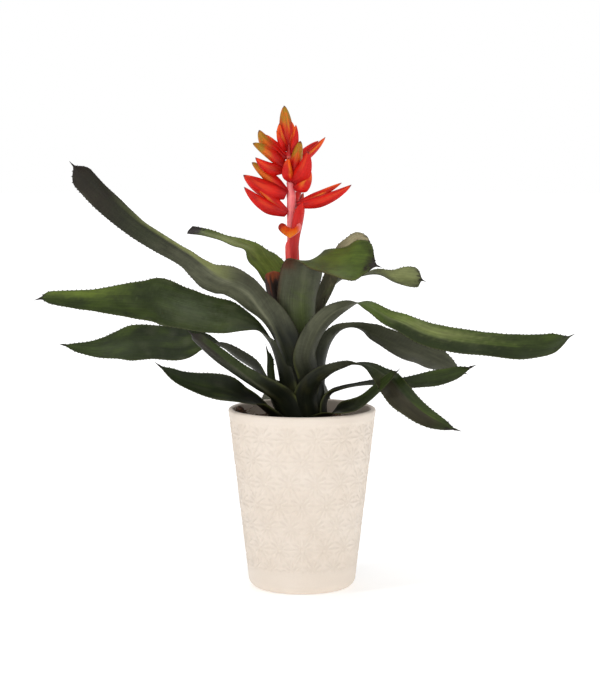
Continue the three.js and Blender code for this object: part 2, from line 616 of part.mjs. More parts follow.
function meshOf({ name, solid, color, roughness = 0.5 }) {
  const { numProp, vertProperties, triVerts } = solid.getMesh();
  const geometry = new THREE.BufferGeometry();
  geometry.setAttribute("position", new THREE.BufferAttribute(vertProperties, numProp));
  geometry.setIndex(new THREE.BufferAttribute(triVerts, 1));
  const mesh = new THREE.Mesh(geometry, new THREE.MeshStandardMaterial({ color, roughness, metalness: 0 }));
  mesh.name = name;
  return mesh;
}

const aechmea = new THREE.Group();
aechmea.add(meshOf({ name: "pot", solid: pot(), color: POT_CREAM, roughness: 0.35 }));
aechmea.add(meshOf({ name: "soil", solid: soil(), color: SOIL_BROWN, roughness: 0.95 }));
for (const piece of plant()) aechmea.add(meshOf(piece));

export default aechmea;
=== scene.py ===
"""A potted aechmea: leaves, flower spike, pot and soil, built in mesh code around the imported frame."""
import math
from collections import namedtuple

import bpy
import numpy as np
from mathutils import Matrix, Vector


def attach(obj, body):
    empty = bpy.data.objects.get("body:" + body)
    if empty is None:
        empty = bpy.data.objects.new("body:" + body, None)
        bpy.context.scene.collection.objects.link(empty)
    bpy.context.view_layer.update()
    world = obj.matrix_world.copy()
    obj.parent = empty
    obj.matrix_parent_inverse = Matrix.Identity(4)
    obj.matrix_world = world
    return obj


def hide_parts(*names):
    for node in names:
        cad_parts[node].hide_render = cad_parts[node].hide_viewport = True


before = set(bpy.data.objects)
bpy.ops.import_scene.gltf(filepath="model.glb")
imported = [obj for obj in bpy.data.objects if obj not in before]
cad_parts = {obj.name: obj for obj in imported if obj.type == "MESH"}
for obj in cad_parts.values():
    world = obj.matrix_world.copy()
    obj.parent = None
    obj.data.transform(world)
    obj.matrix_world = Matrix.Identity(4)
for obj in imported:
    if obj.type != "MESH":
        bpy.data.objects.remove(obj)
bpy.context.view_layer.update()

MM = 0.001
TURN = 2 * math.pi

# Camera: the frame's axes, in millimetres and degrees
CAMERA_TARGET = (-1.6, 0.0, 187.6)
CAMERA_DISTANCE = 2000
CAMERA_PITCH = 6.5
CAMERA_LENS = 131.04
SENSOR = 36

# Studio, in metres and watts. A lamp is its name, its place, its size and its power.
FLOOR_RADIUS = 6
FLOOR_SIDES = 96
FLOOR_DROP = 0.0004
FLOOR_GLOW = 0.35
FAR_FLOOR_GLOW = 0.8
SKY_LIGHT = 0.42
LAMP_TARGET = (0, 0, 0.2)
LAMPS = [
    ("lamp_left", (-1.9, -1.2, 1.4), 0.4, 13.5),
    ("lamp_front", (0.2, -2.6, 0.9), 1.4, 13),
    ("lamp_right", (1.9, -0.8, 1.0), 1.2, 10),
    ("lamp_top", (-0.3, 0.5, 2.2), 1.4, 14),
]

# Pot: its driving dimensions, the steps of its mesh, the pressed lattice of stars on its wall, and the
# heights where the relief starts, is full, starts to fade and ends
POT_HEIGHT = 142
POT_RIM_RADIUS = 58
POT_HEEL_RADIUS = 42.5
POT_HEEL_HEIGHT = 9
POT_FOOT_RADIUS = 34.6
POT_SOLE_RADIUS = 20
POT_WALL = 4
POT_FLOOR = 7
POT_SIDES = 432
POT_STEP = 0.85
HEEL_STEPS = 12
RIM_STEPS = 13
INNER_STEPS = [(0.5, 134.0), (1.3, 126.0)]
STAR_SPACING = 20.2
STAR_COLUMNS = 16
STAR_RAYS = 12
STAR_HEART = 2.2
RELIEF = 0.85
RELIEF_SPAN = (16, 19, 133, 136)

# Soil: its level, its waves by number, height and length, its room to the wall, its mesh, the loose crumbs
# and fibres, and the heap against the rim
SOIL_TOP = 131.5
SOIL_WAVES = [(1, 0.54, 16), (2, 0.3, 5), (3, 0.25, 1.7)]
SOIL_ROOM = 1.1
SOIL_FOOT_ROOM = 0.4
SOIL_RINGS = 70
SOIL_SPOKES = 220
SOIL_CHIPS = 900
SOIL_FIBRES = 420
FIBRE_POINTS = 7
PALE_FIBRES = 0.12
HEAP_PLACE = (-49, 9)
HEAP_HEIGHT = 11.5
HEAP_RADIUS = 7

# Blades: their thickness, the steps of their mesh, the waves and the spines along the margins
RIB_THICKNESS = 1.0
MARGIN_THICKNESS = 0.5
TIP_THINNING = 6
TIP_THICKNESS = 0.35
BLADE_STEP = 1.6
LEAST_ROWS = 24
BLADE_COLUMNS = 16
MARGIN_CROWDING = 1.25
TANGENT_STEP = 4e-3
CURVE_STEPS = 60
SHEATH_LENGTH = 45
WAVE = 0.45
WAVE_LENGTH = 34
CREASE_EASE = 0.15
SPINE_STEP = 3.4
SPINE_HEIGHT = 0.85
SPINE_RADIUS = 0.9
SPINE_START = 0.9 * SHEATH_LENGTH
SPINE_END_ROOM = 9
SPINE_DEPTH = 0.35
SPINE_FOOT = ((-0.75, 0), (0, 0.28), (0.6, 0), (0, -0.28))

# Boat-shaped bracts of the spike: rings along, points over the back and the front, how full and slim they
# are, and the two ways that the end closes
BOAT_RINGS = 34
BOAT_BACK = 15
BOAT_FRONT = 9
BOAT_ROOT = 0.42
BOAT_SLIMNESS = 0.62
BOAT_HOLLOW = 0.55
BOAT_LIP = 0.45
POINTED = (2.6, 0.75)
BLUNT = (3.0, 0.62)

# Stalk: its mesh, and the heights of its joints, where a bract was or is
STALK_SIDES = 20
STALK_STEP = 1.2
STALK_JOINTS = (262, 283, 297, 308, 318, 330, 338)

# Noise: the waves in a ripple, and the first seed of each family of pieces
RIPPLES = 14
LEAF_SEED = 100
STRAP_SEED = 400
SPRAY_SEED = 500
SOIL_SEED = 50

# Surface coordinates: the millimetres in a unit, and how far a lower face lies from the upper one
UV_UNIT = 10
LOWER_FACE_UV = 6


def srgb(r, g, b):
    """A colour as it looks on screen, from 0 to 255 each, as linear light."""
    return np.array([(c / 255 / 12.92) if c <= 10 else ((c / 255 + 0.055) / 1.055) ** 2.4 for c in (r, g, b)])


# Leaf colours, as they look on screen
# The sheaths' dark: partly their own colour and partly painted shade of the rosette's heart
SHEATH_DARK_AND_SHADE = srgb(28, 32, 20)
GREEN = srgb(58, 72, 28)
BRIGHT_GREEN = srgb(92, 112, 40)
PALE_GREEN = srgb(160, 168, 104)
FRESH_GREEN = srgb(122, 142, 50)
GREY_GREEN = srgb(96, 106, 80)
DEEP_GREEN = srgb(38, 50, 16)
OLIVE = srgb(70, 68, 34)
GREY = srgb(84, 86, 66)
PALE_GREY = srgb(126, 128, 102)
DARK_GREY = srgb(54, 57, 36)
BROWN_GREY = srgb(60, 54, 38)
BROWN_BLACK = srgb(44, 39, 28)
DUSKY_GREEN = srgb(40, 47, 24)
TIP_BROWN = srgb(40, 32, 26)
MARGIN_YELLOW = srgb(112, 118, 62)
STRAW = srgb(196, 186, 146)
RED_BROWN = srgb(96, 50, 34)
SPINE_ROOT = srgb(66, 60, 38)
SPINE_TIP = srgb(36, 26, 18)
BLOOM = (0.13, 0.132, 0.085, 1)

# Colours of the flower spike and the stalk
RED = srgb(202, 20, 10)
DEEP_RED = srgb(138, 12, 12)
ORANGE = srgb(228, 88, 12)
OLIVE_TIP = srgb(150, 118, 22)
PURPLE = srgb(78, 26, 34)
PURPLE_RED = srgb(126, 14, 26)
PINK = srgb(224, 96, 100)
PALE_PINK = srgb(238, 138, 138)
WRAP_DARK = srgb(196, 44, 48)
WRAP_RED = srgb(224, 70, 66)
WRAP_LIGHT = srgb(236, 130, 116)
LIGHT_RED = srgb(226, 60, 40)
STRAP_RED = srgb(190, 44, 44)
YELLOW_ORANGE = srgb(226, 128, 30)
LIGHT_RUST = srgb(150, 74, 30)
RUST = srgb(116, 52, 20)
RUST_DARK = srgb(34, 20, 14)

# Colours of the pot and the soil
POT_CREAM = srgb(232, 220, 207)
POT_SHADE = POT_CREAM * np.array([0.955, 0.94, 0.92])
POT_PAINT = [0.8, 0.75, 0.66, 0]
COIR = srgb(92, 60, 38)
COIR_LIGHT = srgb(146, 102, 64)
COIR_DARK = srgb(34, 25, 18)
WHITE_FIBRE = srgb(214, 206, 186)

# A blade: its heading, the lengths of its tip and end spine, the angle at its keel, its looks, and its
# stations: the midrib's x, y, z, the width, the roll and the cup. A station without a roll and a cup has
# those of the one before.
Blade = namedtuple("Blade", "name heading tip spine keel looks stations")

# The leaves, from the heart outwards. The looks are the colours of the upper face in the middle and towards
# the tip, those of the lower face, the length of dead brown at the tip, and how blotched the leaf is.
LEAVES = [
    Blade("dry_curl", 0, 5, 0, 2, (GREY, OLIVE, GREY, OLIVE, 3, 0.3), [
        (1.5, 6.3, 145, 8, 70, 50), (2.6, 6.6, 180, 9), (9, 8, 212, 12), (20, 11, 236, 13, 66, 36),
        (32, 8, 265, 12, 66, 30), (37, 5, 271, 10, 70, 30), (43, 2, 276, 8.5, 78, 30),
        (48, -1, 275, 7, 84, 30), (53, -3, 272, 5.5, 88, 30),
    ]),
    Blade("back_left_short", 125, 2, 0, 4, (BRIGHT_GREEN, BRIGHT_GREEN, GREY, GREEN, 9, 0.4), [
        (-5.3, 7.6, 144, 34, 0, 105), (-5.6, 8, 175, 34, 0, 99), (-9, 13, 205, 34, 0, 70),
        (-14.5, 17, 225.5, 34, 0, 50), (-27, 20, 248, 31, 0, 40), (-34, 23, 256, 26, -8, 35),
        (-40, 27, 264, 16.5, -14, 35), (-50, 31, 268, 12, -18, 35), (-61, 36, 272, 9, -20, 30),
        (-76, 42, 276, 9.5, -25, 25), (-91, 49, 278, 11, -30, 20),
    ]),
    Blade("front_fold", -65, 9, 5, 3, (BRIGHT_GREEN, BRIGHT_GREEN, GREY, DARK_GREY, 8, 0.5), [
        (0.9, -10.4, 143, 36, 10, 98), (1, -11.5, 170, 36, 5, 82), (1, -14, 200, 38, 0, 66),
        (-1, -20, 229, 38, 0, 44), (1, -22, 244, 38.5, 0, 32), (2, -23, 252, 38, 2, 26),
        (4, -26, 259, 36, 8, 22), (11, -33, 261, 30, 20, 18), (20, -44, 260, 28, 34, 15),
        (30, -55, 261, 31.5, 47, 14), (39, -63, 262, 35, 58, 14), (47, -70, 262, 32, 62, 14),
        (53, -76, 261, 18, 62, 16), (60, -80, 259, 9, 62, 18),
    ]),
    Blade("back_right", 35, 6, 4, 3, (GREY, GREY, GREY, PALE_GREY, 4, 0.3), [
        (9.5, 6.7, 143, 34, 0, 84), (10, 7, 180, 30, 0, 70), (14, 13, 212, 25, 0, 50),
        (15, 19, 224, 23, -4, 40), (22, 24, 234, 23, -8, 32), (32, 30, 241, 17, -8, 26),
        (42, 36, 242, 10, 0, 26), (54, 41, 244, 8, 12, 26), (63, 45, 244, 9, 35, 20),
        (74, 50, 241, 12.5, 60, 14), (85, 55, 240, 18, 62, 14), (93, 59, 239, 17.5), (100, 62, 236, 12),
    ]),
    Blade("long_left", 228, 12, 5, 12, (GREEN, BRIGHT_GREEN, GREY, BROWN_BLACK, 8, 0.7), [
        (-8.8, -9.8, 141, 40, 0, 87), (-10, -12.5, 170, 38, 0, 73), (-18, -24, 198, 34, 4, 50),
        (-24, -29.5, 211, 31, 12, 40), (-32, -35, 222.5, 31, 26, 34), (-41, -40.5, 235, 31, 40, 28),
        (-50, -45, 241.5, 31, 46, 24), (-58, -49, 244, 32, 50, 22), (-67, -53, 248, 28, 53, 22),
        (-76, -57, 255, 22, 57, 22), (-85, -61, 263, 18, 60, 22), (-94, -64, 269, 17, 64, 22),
        (-106, -69, 277, 18, 68, 20), (-123, -75, 289, 19, 72, 20), (-149, -84, 312, 20, 76, 20),
        (-162, -88, 327, 20, 78, 20), (-173, -90, 339, 20, 80, 20),
    ]),
    Blade("long_right", -50, 14, 5, 5, (BRIGHT_GREEN, GREEN, GREY, DARK_GREY, 3, 0.4), [
        (9.2, -11, 139, 32, 0, 64), (9.9, -12.6, 168, 28, 0, 50), (5, -20, 184, 25, -4, 46),
        (8, -24, 198, 22, -10, 38), (14, -29, 210, 19, -20, 28), (22, -34, 219, 17, -26, 20),
        (33, -40, 226, 15, -18, 14), (44, -46, 229, 12, 0, 12), (54, -51, 225, 12, 24, 14),
        (65, -57, 219, 13, 38, 14), (77, -62, 215, 15, 46, 14), (93, -69, 208, 18, 52, 14),
        (115, -78, 204, 19, 56, 14), (140, -88, 202, 18, 58, 14), (166, -97, 201, 19, 60, 14),
        (188, -103, 204, 18), (203, -106, 212, 16),
    ]),
    Blade("back_high", 95, 14, 5, 4, (GREEN, BRIGHT_GREEN, GREY, GREY, 5, 0.5), [
        (-1.2, 13.5, 140, 36, 0, 76), (-1.3, 14.9, 175, 34, 0, 65), (-2, 22, 205, 30, 0, 40),
        (-3, 38, 226, 28, 0, 28), (-3, 60, 232, 28, 0, 22), (-4, 84, 224, 27, 0, 20),
        (-5, 108, 204, 24, 0, 25), (-6, 127, 178, 17), (-7, 138, 154, 11),
    ]),
    Blade("wide_left", 200, 8, 5, 5, (GREEN, GREEN, GREY, GREY, 4, 0.5), [
        (-15.2, -5.5, 136, 36, 0, 64), (-17, -6, 165, 32, 0, 55), (-23, -10, 190, 22, 0, 40),
        (-29, -13, 200, 16, -14, 30), (-37, -17, 208, 17, -32, 24), (-46, -21, 212, 23, -46, 20),
        (-56, -25, 215, 29, -56, 16), (-70, -30, 217, 32, -60, 14), (-92, -38, 223, 36, -63, 14),
        (-110, -45, 229, 39, -65, 14), (-119, -49, 230, 34, -66, 14), (-133, -54, 231, 28, -68, 14),
        (-156, -60, 232, 18.5, -70, 14), (-183, -65, 234, 12.5), (-195, -66, 235, 9), (-203, -66, 233, 8),
    ]),
    Blade("right_second", -20, 14, 5, 5, (GREEN, OLIVE, DARK_GREY, GREY, 5, 0.3), [
        (15.7, -5.7, 136, 34, 0, 58), (17.1, -6.2, 165, 30, 0, 47), (16, -7, 182, 22, -22, 40),
        (20, -8, 195, 17, -26, 32), (28, -9, 204, 14, -24, 26), (37, -10, 207, 12, -22, 22),
        (46, -10, 206, 14, -36, 20), (55, -10, 202, 19, -54, 16), (67, -8, 196, 22, -62, 14),
        (79, -6, 190, 24, -66, 14), (92, -4, 185, 25.5), (105, -2, 179, 23), (119, 0, 172, 13),
        (131, 2, 168, 6),
    ]),
    Blade("left_second", 180, 14, 5, 4, (DEEP_GREEN, GREEN, DARK_GREY, DARK_GREY, 4, 0.5), [
        (-18.3, 0, 134, 32, 0, 50), (-20, 0, 150, 26, 0, 37), (-31, 0, 165, 18, 10, 34),
        (-39, 1, 175, 15, 36, 28), (-49, 4, 182, 13, 44, 22), (-62, 8, 189, 13, 26, 18),
        (-77, 13, 191, 20, -36, 14), (-94, 19, 189, 28, -60, 14), (-117, 28, 190, 28.5, -66, 12),
        (-135, 33, 189, 29.5, -68, 12), (-147, 37, 187, 23), (-162, 42, 184, 16), (-178, 46, 184, 9),
        (-196, 50, 187, 6),
    ]),
    Blade("left_front_short", 236, 7, 5, 14, (DUSKY_GREEN, DUSKY_GREEN, DUSKY_GREEN, BROWN_BLACK, 6, 0.5), [
        (-9.6, -16.6, 132, 32, 0, 48), (-20, -21, 150, 30, 4, 46), (-30, -30, 159, 25, 14, 40),
        (-39, -39, 167, 19, 22, 36), (-49, -49, 176, 17, 28, 36), (-59, -60, 185, 17, 30, 36),
        (-70, -71, 196, 14, 32, 36), (-78, -79, 204, 11), (-86, -84, 212, 9),
    ]),
    Blade("right_third", -66, 10, 5, 12, (DEEP_GREEN, GREEN, DARK_GREY, BROWN_GREY, 6, 0.5), [
        (7.6, -17, 133, 32, 0, 49), (5, -22, 153, 25, -4, 46), (8, -27, 163, 19, -10, 36),
        (16, -33, 172, 15, -18, 26), (27, -40, 178, 12, -18, 20), (40, -47, 182, 10, -10, 16),
        (51, -54, 180, 12, 2, 16), (59, -59, 175, 15, 16, 18), (67, -64, 169, 20, 30, 20),
        (74, -69, 161, 22, 38, 22), (82, -74, 154, 19, 40, 24), (90, -78, 148, 16.5), (99, -81, 143, 13),
        (109, -85, 139, 8), (120, -88, 136, 5),
    ]),
    Blade("back_low", 88, 14, 5, 4, (GREEN, GREEN, GREY, DARK_GREY, 5, 0.5), [
        (0.7, 19.6, 132, 34, 0, 50), (1, 27, 154, 30, 0, 36), (1, 42, 166, 28, 0, 26),
        (0, 64, 170, 28, 0, 22), (-1, 90, 164, 26, 0, 20), (-2, 114, 148, 21, 0, 25), (-2, 130, 128, 14),
    ]),
    Blade("back_low_right", 80, 14, 5, 4, (GREEN, GREEN, GREY, DARK_GREY, 5, 0.5), [
        (3.6, 20.3, 132, 30, 0, 42), (5, 30, 146, 26, 0, 36), (7, 46, 152, 23, 0, 26),
        (9, 62, 147, 23, 0, 22), (12, 80, 136, 23, 0, 20), (15, 100, 119, 20, 0, 22),
        (18, 117, 98, 13, 0, 25), (19, 126, 80, 8),
    ]),
    Blade("back_low_left", 102, 14, 5, 4, (DEEP_GREEN, GREEN, GREY, DARK_GREY, 5, 0.5), [
        (-5.2, 20.8, 132, 30, 0, 40), (-7, 31, 147, 26, 0, 36), (-10, 46, 155, 24, 0, 26),
        (-14, 64, 152, 25, 0, 22), (-19, 84, 140, 25, 0, 20), (-26, 104, 121, 22, 0, 22),
        (-31, 118, 101, 15, 0, 25), (-34, 127, 82, 8),
    ]),
    Blade("right_fourth", 2, 14, 5, 4, (DEEP_GREEN, GREEN, DARK_GREY, DARK_GREY, 4, 0.4), [
        (19.8, 0.7, 133, 28, 0, 40), (19.6, -1, 147, 22, -6, 40), (23, 0, 153, 16, -6, 34),
        (31, -3, 157, 12, 0, 28), (41, -7, 160, 9.5, 6, 22), (58, -13, 163, 9, 22, 20),
        (70, -17, 163, 9, 38, 18), (81, -20, 164, 10, 50, 16), (102, -26, 168, 13.5, 58, 14),
        (114, -29, 171, 12), (124, -31, 175, 9.5), (135, -33, 180, 6),
    ]),
    Blade("left_low", 198, 14, 5, 4, (DEEP_GREEN, DEEP_GREEN, DARK_GREY, DARK_GREY, 4, 0.5), [
        (-20.7, -7.5, 132, 30, 0, 39), (-35, -12, 146, 26, -10, 40), (-45, -19, 152, 27, -26, 28),
        (-56, -25, 158, 27, -42, 22), (-69, -31, 162, 23, -56, 16), (-83, -37, 166, 17, -60, 14),
        (-95, -43, 171, 12), (-104, -47, 177, 8), (-113, -50, 184, 4),
    ]),
    Blade("right_front_short", -42, 6, 5, 4, (GREEN, GREEN, DARK_GREY, DARK_GREY, 6, 0.4), [
        (16, -13.5, 133, 28, 0, 38), (25, -26, 141, 26, 14, 40), (36, -37, 146, 20, 32, 28),
        (45, -47, 151, 17, 44, 22), (54, -58, 160, 15, 50, 18), (62, -68, 169, 13, 52, 18),
        (69, -76, 177, 10), (74, -81, 183, 8),
    ]),
    Blade("small_shoot", 150, 10, 5, 10, (BRIGHT_GREEN, GREEN, GREEN, GREEN, 3, 0.3), [
        (-16.5, 13.8, 132, 15, 0, 25), (-24, 18, 146, 14, 0, 50), (-27, 21, 168, 12, 0, 40),
        (-27, 23, 179, 10), (-29, 25, 190, 6),
    ]),
]

# Blades with one wing turned along a crease: which wing, where the crease is across the blade near the base
# and near the tip, the angle that the wing turns by, the shares of the length where it starts and ends, the
# share where the wing's colour starts, and that colour. On long_right that colour is painted shade, and on
# long_left it is partly the leaf's green and partly a painted highlight.
CREASES = {
    # long_left's turned wing is painted pale green: partly the leaf's own green and partly a painted
    # highlight where it faces the light above
    "long_left": (1, (0.0, 0.4), 36, (0.2, 0.86), 0.4, PALE_GREEN),
    # long_right's turned wing is painted deep green: painted shade on the half that slopes away from the
    # light above
    "long_right": (-1, (0.05, 0.05), -26, (0.42, 0.97), 0.42, DEEP_GREEN),
    "right_third": (-1, (-0.25, -0.25), -30, (0.5, 0.97), 0.5, BROWN_GREY),
    "left_front_short": (1, (0.2, 0.2), 30, (0.35, 0.95), 0.35, GREEN),
}

# Where along a leaf the dark sheath gives way to the blade, in millimetres from its foot. That dark is partly
# the sheath's own colour and partly painted shade in the heart of the rosette.
SHEATH_CHANGE = (25, 90)
SHEATHS = {"long_left": (64, 82), "front_fold": (20, 84), "long_right": (22, 62)}

# Stained places: the share of the length, the place across, their spread each way, how strong, the colour
STAINS = {
    "front_fold": [
        (0.585, -0.8, 0.03, 0.35, 0.9, RED_BROWN), (0.62, -1, 0.3, 0.08, 0.8, RED_BROWN),
        (0.95, 0.1, 0.035, 0.8, 0.8, BROWN_BLACK), (0.36, 0.1, 0.12, 0.6, 0.6, BRIGHT_GREEN),
    ],
    "dry_curl": [(0.9, 0, 0.16, 2, 0.95, STRAW)],
    "back_left_short": [(0.8, 0, 0.12, 1.2, 0.6, PALE_GREEN), (0.56, 0, 0.08, 0.9, 0.7, FRESH_GREEN)],
    "back_right": [(0.9, 0.3, 0.12, 1.2, 0.9, PALE_GREEN)],
    "wide_left": [
        (0.86, -0.7, 0.12, 0.45, 0.8, FRESH_GREEN), (0.67, -0.1, 0.05, 0.9, 0.5, DEEP_GREEN),
        (0.52, 0.1, 0.08, 0.8, 0.7, GREY_GREEN), (0.36, 0.2, 0.07, 0.7, 0.6, GREY_GREEN),
    ],
    "long_right": [(0.62, 0.4, 0.12, 0.4, 0.6, PALE_GREEN)],
    "long_left": [
        (0.72, -0.2, 0.07, 1.2, 0.5, DEEP_GREEN), (0.42, -0.5, 0.1, 0.6, 0.6, PALE_GREY),
        (0.8, 0.6, 0.05, 1.2, 0.6, DUSKY_GREEN),
    ],
}

# Patches over a leaf: the noise's seed, its sizes across and along in millimetres, where a patch starts and
# where it is full, and how strong it is
BLOTCHES = (1, 16, 42, 0.2, 1.6, 0.75)
LIGHTER = (2, 20, 60, 0.3, 1.7, 0.38)
SPECKS = (8, 2.6, 3.2, 1.1, 2, 0.5)
MOTTLE = (6, 8, 34, 0, 1.8, 0.4)
SCALES = (9, 11, 30, 0.2, 1.6, 0.22)

# The strap-like bracts low on the stalk. The looks are the colours near and far along, the stripes' colour,
# the shares of the length where the colour changes, and the edges' colours.
STRAPS = [
    Blade("wrap", -100, 9, 0, 0, (WRAP_DARK, WRAP_RED, WRAP_LIGHT, (0.2, 0.8), ()), [
        (-6.1, -5.1, 216, 27, 0, 150), (-7.7, -5.1, 240, 27), (-8.5, -5.1, 262, 26, 0, 145),
        (-9, -5.2, 277, 14, 0, 80),
    ]),
    Blade("curl", -96, 4, 0, 0, (ORANGE, YELLOW_ORANGE, RED, (0.2, 0.9), (DEEP_RED, PALE_PINK)), [
        (-8.3, -4.9, 283.5, 12, 0, 70), (-8.7, -8, 282.5, 20, 0, 80), (-9, -11.5, 280.5, 24, 0, 78),
        (-9.3, -14.3, 278.3, 22, 0, 66), (-9.5, -16, 276.8, 18, 0, 50),
    ]),
    Blade("strap", -50, 6, 0, 0, (STRAP_RED, RED, LIGHT_RED, (0.25, 0.95), ()), [
        (-5.4, -5.9, 258, 7, 0, 40), (-5, -5.9, 266, 9, 0, 44), (-4.3, -5.6, 276, 10.5, 0, 46),
        (-2.2, -5, 287, 12, 0, 48), (-0.6, -4.3, 296, 11, 0, 46), (0.8, -3.4, 304, 6, 0, 40),
    ]),
    Blade("brown", -108, 3, 0, 0, (RUST_DARK, RUST, LIGHT_RUST, (0.84, 0.92), ()), [
        (-9, -3.6, 196, 12, 0, 60), (-15, -6, 216, 16, 0, 46), (-20, -8, 234, 19, 0, 36),
        (-21.6, -9, 243, 18, 0, 32), (-22.4, -9.6, 250.5, 15, 0, 30),
    ]),
]

# The spike's sprays: the root on the stalk, then for each bract the kind of its tip, the tip's x, y, z, the
# width, the bow and the turn about its length
SPRAYS = [
    ("lower_left", (-11.8, -2, 295.5), [
        ("red", -45, -10, 316, 13.5, 2.4, 0), ("orange", -36, -6, 316.3, 10, -1, 170),
    ]),
    ("lower_right", (-3.8, 0, 302), [
        ("red", 38.4, -6, 317.5, 12.5, 2.5, 0), ("orange", 31, -2, 318.8, 8, -1.5, 175),
    ]),
    # The bracts behind the stalk take the dark kind: their dark is painted shade, as they stand in shade
    # behind the stalk
    ("behind", (-7.4, 4, 300), [("dark", 1.1, 26, 309.5, 12, 2, 0), ("dark", 0, 22, 313, 9, 1, 180)]),
    ("left", (-12, -1.5, 310.5), [
        ("red", -45.7, -4, 325, 19, 1, 0), ("olive", -39.2, 2, 334.5, 12, -1, 180),
    ]),
    ("right_round", (-5.4, -3, 314.6), [
        ("orange", 6.8, -14, 329, 14, 3, 0), ("orange", 4, -9, 329.5, 11, 1, 160),
    ]),
    ("front", (-8, -4.6, 321), [
        ("red", 4.7, -20, 344, 18, 3, 20), ("orange", -10.6, -14, 339, 14, 2, -30),
        ("olive", -1.2, -13, 351.6, 16, 1, 180),
    ]),
    ("upper_left", (-12.4, -1, 329.5), [
        ("red", -36.3, -8, 338.7, 13, 2.5, 0), ("olive", -38.3, -4, 349.6, 12, 0.5, 175),
    ]),
    ("behind_high", (-8, 4, 320), [("red", -3.2, 26, 337, 12, 2, 0), ("orange", -5, 20, 341, 10, 1, 180)]),
    ("upper_right", (-6, 1.5, 334), [("orange", 18.2, 8, 354, 8.5, 1, 0), ("red", 13, 9, 351, 7, 0.5, 175)]),
    ("top_left", (-12.2, 0.5, 337.5), [
        ("olive", -33.6, 4, 359.6, 15, 2, 0), ("orange", -28.5, 5, 356, 10, -1, 175),
    ]),
    ("top_small", (-12.4, -2.4, 344), [("orange", -19.8, -9, 359.5, 7.5, 1, 30)]),
    ("top_right", (-8, -2.6, 342), [("orange", -4.8, -9, 364, 9.5, 1, 40)]),
    ("tip", (-10.8, 0, 345), [
        ("olive", -14.1, 0, 378.7, 10, 0.3, 90), ("olive", -14.1, 0.5, 378, 10, 0.3, -90),
        ("orange", -17.6, -3, 365, 10, 1.2, -75), ("orange", -9.3, 2, 367.5, 10, 1.2, 80),
    ]),
]

# The kinds of tip: the colour, the share of the length where it starts, and how yellow the edges are
KINDS = {
    "olive": (OLIVE_TIP, 0.4, 0.4),
    "orange": (ORANGE, 0.62, 0.75),
    "red": (ORANGE, 0.86, 0.12),
    # The dark kind is painted shade, for the bracts in shade behind the stalk
    "dark": (PURPLE, 0.45, 0),
}

# The stalk: x, y, z and the radius
STALK = [
    (0, 0, 141, 3.7), (-3, 0, 185, 3.7), (-6.6, 0, 235, 3.7), (-8.1, 0, 274, 3.6), (-8.4, 0, 300, 3.5),
    (-8.7, 0, 322, 3.2), (-9.6, 0, 340, 2.6), (-10.6, 0, 352, 1.8),
]

# Grained materials: the noise's scale each way and its detail, how it shades the colour, the roughness, the
# bump's strength and depth, and the shader's own inputs
GRAINED = {
    "bract": ((22, 0.7, 1), 3, (0.8, 1.2), (0.36, 0.52), (0.3, 0.0003), dict(
        Specular_IOR_Level=0.22, Subsurface_Weight=0.12, Subsurface_Radius=(1, 0.25, 0.1),
        Subsurface_Scale=0.002)),
    "stalk": ((9, 0.5, 1), 3, (0.86, 1.14), (0.42, 0.58), (0.3, 0.0003), dict(
        Sheen_Weight=0.15, Subsurface_Weight=0.15, Subsurface_Radius=(1, 0.35, 0.25),
        Subsurface_Scale=0.002)),
    "coir": ((900, 900, 900), 4, (0.6, 1.4), (0.75, 0.98), (0.6, 0.0006), {}),
}


def smooth(x, low, high):
    """0 below low, 1 above high, and a soft step between them."""
    t = np.clip((np.asarray(x, float) - low) / (high - low), 0, 1)
    return t * t * (3 - 2 * t)


def bump_at(x, middle, spread):
    """1 at the middle, fading to 0 on both sides."""
    return np.exp(-((x - middle) / spread) ** 2)


def between(x, low, full, fading, gone):
    """1 from full to fading, and 0 below low and above gone."""
    return smooth(x, low, full) * (1 - smooth(x, fading, gone))


def mixed(colour, *layers):
    """A colour with others laid over it, each followed by its share."""
    for tint, share in zip(layers[::2], layers[1::2]):
        share = np.asarray(share, float)[..., None]
        colour = colour * (1 - share) + tint * share
    return colour


def with_alpha(colour, alpha=0):
    return np.concatenate([colour, np.broadcast_to(alpha, colour.shape[:-1])[..., None]], -1)


def unit(rows):
    """Each row at a length of one."""
    return rows / np.maximum(np.linalg.norm(rows, axis=-1, keepdims=True), 1e-6)


def circle(count):
    return np.linspace(0, TURN, count, endpoint=False)


def polar(r, a, z):
    return np.stack(np.broadcast_arrays(r * np.cos(a), r * np.sin(a), z), -1)


def filled(stations):
    """The stations, each with a roll and a cup."""
    rows = []
    for station in stations:
        rows.append([*station, *(rows[-1][4:] if len(station) == 4 else ())])
    return rows


def ripple(seed, *axes):
    """Smooth noise of about -1 to 1 over arrays that are scaled to one cycle a unit."""
    rng = np.random.default_rng(seed)
    total = 0
    for _ in range(RIPPLES):
        turn = rng.normal(size=len(axes))
        total = total + np.cos(TURN * sum(k * x for k, x in zip(turn, axes)) + rng.uniform(0, TURN))
    return total / math.sqrt(RIPPLES)


